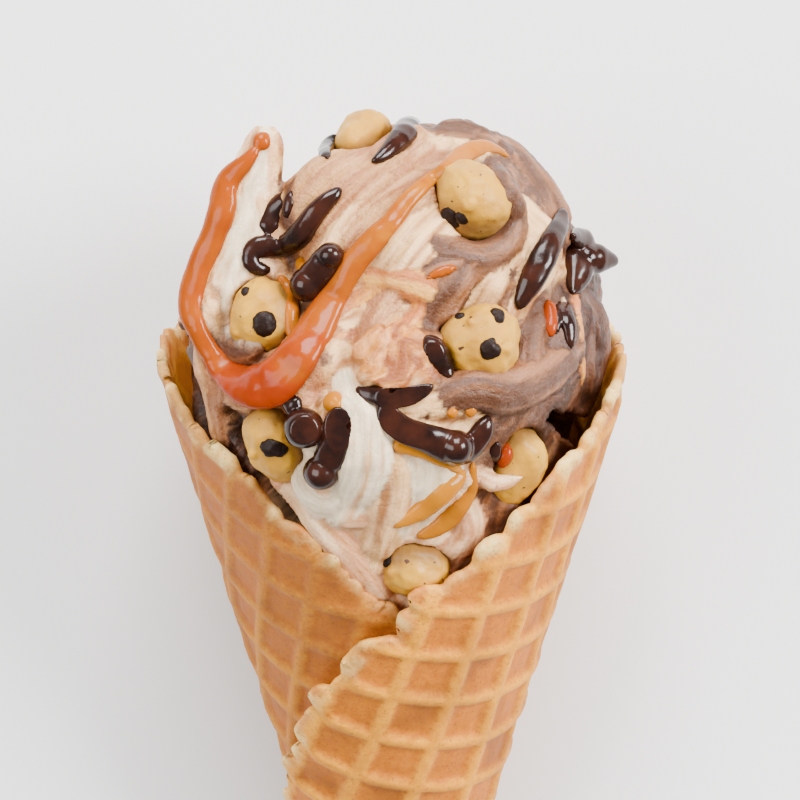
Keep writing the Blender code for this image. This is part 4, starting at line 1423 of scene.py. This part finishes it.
@dataclass
class Waffle:
    """The rolled waffle sheet: a flat disc rolled about a point on its edge."""

    disc_radius: float = 90.0
    mouth_slant: float = 160.5
    pocket_face: float = 0.9
    inner_face: float = -0.9
    ridge_height: float = 1.0
    ridge_half: float = 2.2
    pitch: float = 10.4
    grid_angle: float = math.radians(58)
    phases: tuple[float, float] = (0.43, 0.13)
    rim_wave: float = 2.6
    rim_wavelength: float = 9.0
    spiral_step: float = 3.4
    seam_turn: float = math.radians(-2)
    tip_cut: float = 22.0
    cells: int = 14
    rim_half: float = 0.8
    rim_scallop: float = 2.2
    lobe_pitch: float = 7.5
    flap_end: float = math.radians(304)
    toasted_side: float = 26.0

    def rolled(self, flat: Array, height: Array) -> Array:
        """Rolls points of the flat sheet into the cone.

        Args:
            flat: Points of the flat sheet; the cone's tip is at the origin.
            height: How far each lies off the sheet's middle.

        Returns:
            Points in the standing frame.
        """
        slant = np.linalg.norm(flat, axis=1)
        turn = np.arctan2(flat[:, 0], flat[:, 1]) / math.sin(HALF_ANGLE) + self.seam_turn
        off = self.spiral_step * turn / math.tau + height
        radius = slant * math.sin(HALF_ANGLE) + off * math.cos(HALF_ANGLE)
        along = slant * math.cos(HALF_ANGLE) - off * math.sin(HALF_ANGLE)
        return np.stack((radius * np.sin(turn), radius * np.cos(turn), along), axis=1)

    def edge(self, angle: float) -> tuple[float, float, float]:
        """A point of the disc's scalloped edge, as angle, distance from the middle, and lobe."""
        spot = Vector((math.sin(angle), math.cos(angle), 0)) * self.disc_radius
        lobe = min(1.0, abs(noise.noise(spot / self.lobe_pitch + Vector((7, 0, 0)))) / 0.36)**0.6
        wave = self.rim_wave * noise.noise(spot / self.rim_wavelength) + self.rim_scallop * (lobe - 0.62)
        radius = self.disc_radius + wave
        point = Vector((radius * math.sin(angle), self.disc_radius + radius * math.cos(angle)))
        point *= min(1.0, (self.mouth_slant + wave) / point.length)
        middle = (point.x, point.y - self.disc_radius)
        return math.atan2(*middle), math.hypot(*middle), lobe

    def room(self, flat: Array) -> tuple[Array, Array]:
        """Measures how far flat points lie inside the disc's edge.

        Args:
            flat: Points of the flat sheet.

        Returns:
            Distance to the edge in mm, and how far into a lobe of it, from 0 at a notch to 1.
        """
        table = sorted(self.edge(math.tau * k / 2400 - math.pi) for k in range(1, 2400))
        angles, radii, lobes = np.array(table).T
        middle = np.stack((flat[:, 0], flat[:, 1] - self.disc_radius), axis=1)
        turned = np.arctan2(middle[:, 0], middle[:, 1])
        found = np.interp(turned, angles, radii)
        return found - np.linalg.norm(middle, axis=1), np.interp(turned, angles, lobes)

    def sheet(self) -> tuple[Array, Array]:
        """The flat sheet as points and quads inside its outline."""
        step = self.pitch / self.cells
        reach = math.ceil(2 * self.disc_radius / step)
        counts = np.arange(-reach, reach + 1) * step
        a, b = np.meshgrid(counts + self.phases[0] * self.pitch, counts + self.phases[1] * self.pitch,
                           indexing="ij")
        cosine, sine = math.cos(self.grid_angle), math.sin(self.grid_angle)
        flat = np.stack((cosine * a - sine * b, sine * a + cosine * b), axis=-1).reshape(-1, 2)
        inside = ((self.room(flat)[0] > 0.3 * step)
                  & (np.linalg.norm(flat, axis=1) > self.tip_cut + 0.3 * step))
        side = len(counts)
        corner = (np.arange(side - 1)[:, None] * side + np.arange(side - 1)).ravel()
        quads = np.stack((corner, corner + side, corner + side + 1, corner + 1), axis=1)
        quads = quads[inside[quads].all(axis=1)]
        used, quads = np.unique(quads, return_inverse=True)
        return flat[used], quads.reshape(-1, 4)

    def rim_edges(self, quads: Array, count: int) -> Array:
        """The sheet's edge, as directed pairs of point numbers."""
        pairs = np.concatenate([quads[:, [k, (k + 1) % 4]] for k in range(4)])
        keys = pairs.min(axis=1) * count + pairs.max(axis=1)
        _, index, times = np.unique(keys, return_index=True, return_counts=True)
        return pairs[index[times == 1]]

    def relief(self, flat: Array) -> Array:
        """How far up the ridges each flat point lies, from 0 to 1."""
        cosine, sine = math.cos(self.grid_angle), math.sin(self.grid_angle)
        height = np.zeros(len(flat))
        for axis, phase in zip(((cosine, sine), (-sine, cosine)), self.phases):
            cells = flat @ np.array(axis) / self.pitch - phase
            distance = np.abs(cells - np.round(cells)) * self.pitch
            height = np.maximum(height, eased(distance, self.ridge_half, 0.35))
        return height

    def build(self) -> None:
        """Makes the sheet and its closed tip."""
        flat, quads = self.sheet()
        count = len(flat)
        edges = self.rim_edges(quads, count)
        rim = np.unique(edges)
        at_tip = np.linalg.norm(flat[rim], axis=1) < self.tip_cut * 1.5
        outward = flat[rim] - (0, self.disc_radius)
        outward /= np.linalg.norm(outward, axis=1, keepdims=True)
        moved = flat[rim] + outward * self.room(flat[rim])[0][:, None]
        from_tip = flat[rim] / np.linalg.norm(flat[rim], axis=1, keepdims=True)
        flat[rim] = np.where(at_tip[:, None], from_tip * self.tip_cut, moved)
        outward = np.where(at_tip[:, None], -from_tip, outward)

        place = np.column_stack((flat, np.zeros(count)))
        grain = Grain(3)
        room, lobe = self.room(flat)
        room = np.where(np.linalg.norm(flat, axis=1) < 2 * self.tip_cut, 50.0, room)
        relief = self.relief(flat) * (1 - 0.45 * eased(-flat[:, 0], 4.0, 14.0) * eased(room, 40.0, 12.0))
        blob = lobe * eased(grain.at(place, 11.0) + 0.3 * grain.at(place, 4.0), -0.45, 0.35)
        crumbs = 0.6 * grain.rough(place + 50, 2.4, 3)
        batter = (blob + crumbs) * eased(room, 3.6, 0.8)
        uneven = 0.10 * grain.rough(place, 2.4, 2) + 0.16 * grain.at(place, 8.0)
        ridge = self.ridge_height * relief * eased(room, 1.0, 4.0)
        outer = self.pocket_face + ridge + uneven + 0.5 * batter
        inner = self.inner_face - 0.35 * ridge + 0.4 * uneven - 0.2 * batter
        near = eased(room, 2.0, 0.0)
        half = self.rim_half + 0.45 * batter
        outer = outer * (1 - near) + half * near
        inner = inner * (1 - near) - half * near

        index = np.zeros(count, int)
        index[rim] = np.arange(len(rim))
        first, second = index[edges[:, 0]], index[edges[:, 1]]
        skins = [self.rolled(flat, outer), self.rolled(flat, inner)]
        starts = [rim, None, None, rim + count]
        for number, (share, reach) in enumerate(((0.55, 0.75), (-0.55, 0.75))):
            ring = flat[rim] + outward * (half[rim] * reach)[:, None]
            skins.append(self.rolled(ring, half[rim] * share))
            starts[number + 1] = 2 * count + number * len(rim) + np.arange(len(rim))
        walls = [np.stack((upper[second], upper[first], lower[first], lower[second]), axis=1)
                 for upper, lower in zip(starts, starts[1:])]
        faces = np.concatenate([quads, quads[:, ::-1] + count, *walls])
        points = np.concatenate(skins)
        pale = eased(room, 3.6, 0.8) * eased(blob, 0.3, 0.9) + 0.3 * eased(room, 1.6, 0.3)
        pale = np.clip(pale * (0.78 + 0.5 * grain.rough(place, 3.0, 3)), 0, 1)
        bake = eased(grain.rough(place, 13.0, 3), -0.1, 0.9) * (1 - 0.5 * relief)
        round_right = np.degrees(np.arctan2(flat[:, 0], flat[:, 1])) - self.toasted_side
        # Toasting in patches and in a stripe on the right, plus painted shade that darkens the left flap.
        bake = bake + 0.7 * eased(-flat[:, 0], -4.0, 12.0) + 0.75 * np.exp(-(round_right / 5)**2)
        bake = np.clip(bake, 0, 1)
        tiled = [np.concatenate((value, value, value[rim], value[rim])) for value in (relief, pale, bake)]
        low = laid(points)
        low[:, 2] = np.maximum(low[:, 2], 0)
        sheet = Shape(stood(low), faces)
        if self.inside_out(sheet):
            sheet.quads = sheet.quads[:, ::-1]
        sheet.piece("waffle_sheet", Baked(), "waffle", ("waffle_cone",),
                    relief=tiled[0], rim=tiled[1], bake=tiled[2])
        self.tip()

    def inside_out(self, shape: Shape) -> bool:
        """Whether a closed shape's faces point in."""
        p, q = shape.points, shape.quads
        volume = (np.cross(p[q[:, 0]], p[q[:, 1]]) * p[q[:, 2]]).sum()
        volume += (np.cross(p[q[:, 0]], p[q[:, 2]]) * p[q[:, 3]]).sum()
        return volume < 0

    def tip(self) -> None:
        """Makes the solid tip, where the rolled layers are pressed together."""
        sides = 96
        turns = math.tau * np.arange(sides) / sides
        step_down = (math.tau - turns) / (math.tau - self.flap_end)
        off = self.spiral_step * np.minimum(turns, self.flap_end * step_down) / math.tau + self.pocket_face
        heights = np.concatenate((np.linspace(0.25, 6, 14), np.linspace(7.5, 25.5, 18)))
        rings = []
        for along in heights:
            rounding = math.sqrt(1 - max(0.0, 1 - along / 6)**2)
            radius = (along * math.tan(HALF_ANGLE) + off / math.cos(HALF_ANGLE)) * rounding
            rings.append(np.stack((radius * np.sin(turns), radius * np.cos(turns), np.full(sides,
                                                                                           along)), axis=1))
        points = np.concatenate(rings)
        ring, side = np.meshgrid(np.arange(len(heights) - 1), np.arange(sides), indexing="ij")
        following = (side + 1) % sides
        quads = np.stack((ring * sides + side, ring * sides + following, (ring + 1) * sides + following,
                          (ring + 1) * sides + side), axis=-1).reshape(-1, 4)
        ends = np.array([(0, 0, heights[0] - 0.1), (0, 0, heights[-1])])
        around = np.arange(sides)
        last = (len(heights) - 1) * sides
        tris = np.concatenate((
            np.stack((around, np.full(sides, len(points)), (around + 1) % sides), axis=1),
            np.stack((last + around, last + (around + 1) % sides, np.full(sides, len(points) + 1)), axis=1)))
        shape = Shape(np.concatenate((points, ends)), quads, tris)
        grain = Grain(8)
        swell = 0.25 * grain.rough(shape.points, 5.0, 3)
        shape.points = shape.points + shape.normals * swell[:, None]
        low = laid(shape.points)
        low[:, 2] = np.maximum(low[:, 2], 0)
        shape.points = stood(low)
        relief = eased(grain.at(shape.points, 5.0), -0.3, 0.5)
        bake = eased(grain.rough(shape.points, 9.0, 2), -0.2, 0.8)
        shape.piece("waffle_tip", Baked(), "waffle", ("waffle_cone",), relief=relief,
                    rim=np.zeros(len(relief)),
                    bake=bake)


@dataclass
class Studio:
    """The pale floor, the soft lights and the camera."""

    sensor: float = 36.0
    world_light: float = 0.45

    def build(self) -> None:
        """Sets up floor, lights and camera."""
        self.floor()
        self.world()
        self.light("key", (1.10, 0.50, 1.00), 0.6, 58)
        self.light("fill", (-1.0, 0.2, 1.2), 0.9, 24)
        self.light("top", (0.0, 1.3, 0.9), 0.7, 46)
        self.camera()

    def floor(self) -> None:
        """A wide plane under the cone."""
        bm = bmesh.new()
        bmesh.ops.create_grid(bm, x_segments=1, y_segments=1, size=4.0)
        mesh = bpy.data.meshes.new("floor")
        bm.to_mesh(mesh)
        bm.free()
        mesh.materials.append(Paper().made())
        obj = bpy.data.objects.new("floor", mesh)
        bpy.context.scene.collection.objects.link(obj)

    def world(self) -> None:
        """Even light from all round."""
        world = bpy.data.worlds.new("studio")
        world.use_nodes = True
        background = world.node_tree.nodes["Background"]
        background.inputs["Color"].default_value = (1, 1, 1, 1)
        background.inputs["Strength"].default_value = self.world_light
        bpy.context.scene.world = world

    def light(self, name: str, place: tuple[float, float, float], size: float, power: float) -> None:
        """A square soft light aimed at the heap.

        Args:
            name: The light's name.
            place: Where it hangs, in metres in the frame of the solids.
            size: Its side in metres.
            power: Its power in watts.
        """
        data = bpy.data.lights.new(name, "AREA")
        data.size = size
        data.energy = power
        obj = bpy.data.objects.new(name, data)
        obj.location = place
        aim = Vector((0, 0.05, 0.04)) - obj.location
        obj.rotation_euler = aim.to_track_quat("-Z", "Y").to_euler()
        bpy.context.scene.collection.objects.link(obj)

    def camera(self) -> None:
        """The camera at the photograph's angle."""
        lean = VIEW_RISE - HALF_ANGLE
        back = Vector((0, math.sin(lean), math.cos(lean)))
        up = Vector((0, math.cos(lean), -math.sin(lean)))
        right = Vector((1, 0, 0))
        cosine, sine = math.cos(VIEW_ROLL), math.sin(VIEW_ROLL)
        turned_right = right * cosine + up * sine
        turned_up = up * cosine - right * sine
        data = bpy.data.cameras.new("camera")
        data.sensor_width = self.sensor
        data.lens = self.sensor * VIEW_DISTANCE / (PIXEL * PHOTO_SIDE)
        data.clip_start = 0.05
        obj = bpy.data.objects.new("camera", data)
        target = Vector(laid(np.array([VIEW_MIDDLE]))[0]) * MM
        turn = Matrix((turned_right, turned_up, back)).transposed()
        obj.matrix_world = Matrix.Translation(target + back * (VIEW_DISTANCE * MM)) @ turn.to_4x4()
        bpy.context.scene.collection.objects.link(obj)
        bpy.context.scene.camera = obj


def main() -> None:
    """Builds every sub-assembly in order."""
    logging.basicConfig(level=logging.INFO, format="%(message)s", stream=sys.stdout)
    Studio().build()
    Waffle().build()
    skin = Heap(dough_nodes=tuple(chunk.node for chunk in CHUNKS)).build()
    for chunk in CHUNKS:
        chunk.build()
    Sauces(skin).build()


if __name__ == "__main__":
    main()
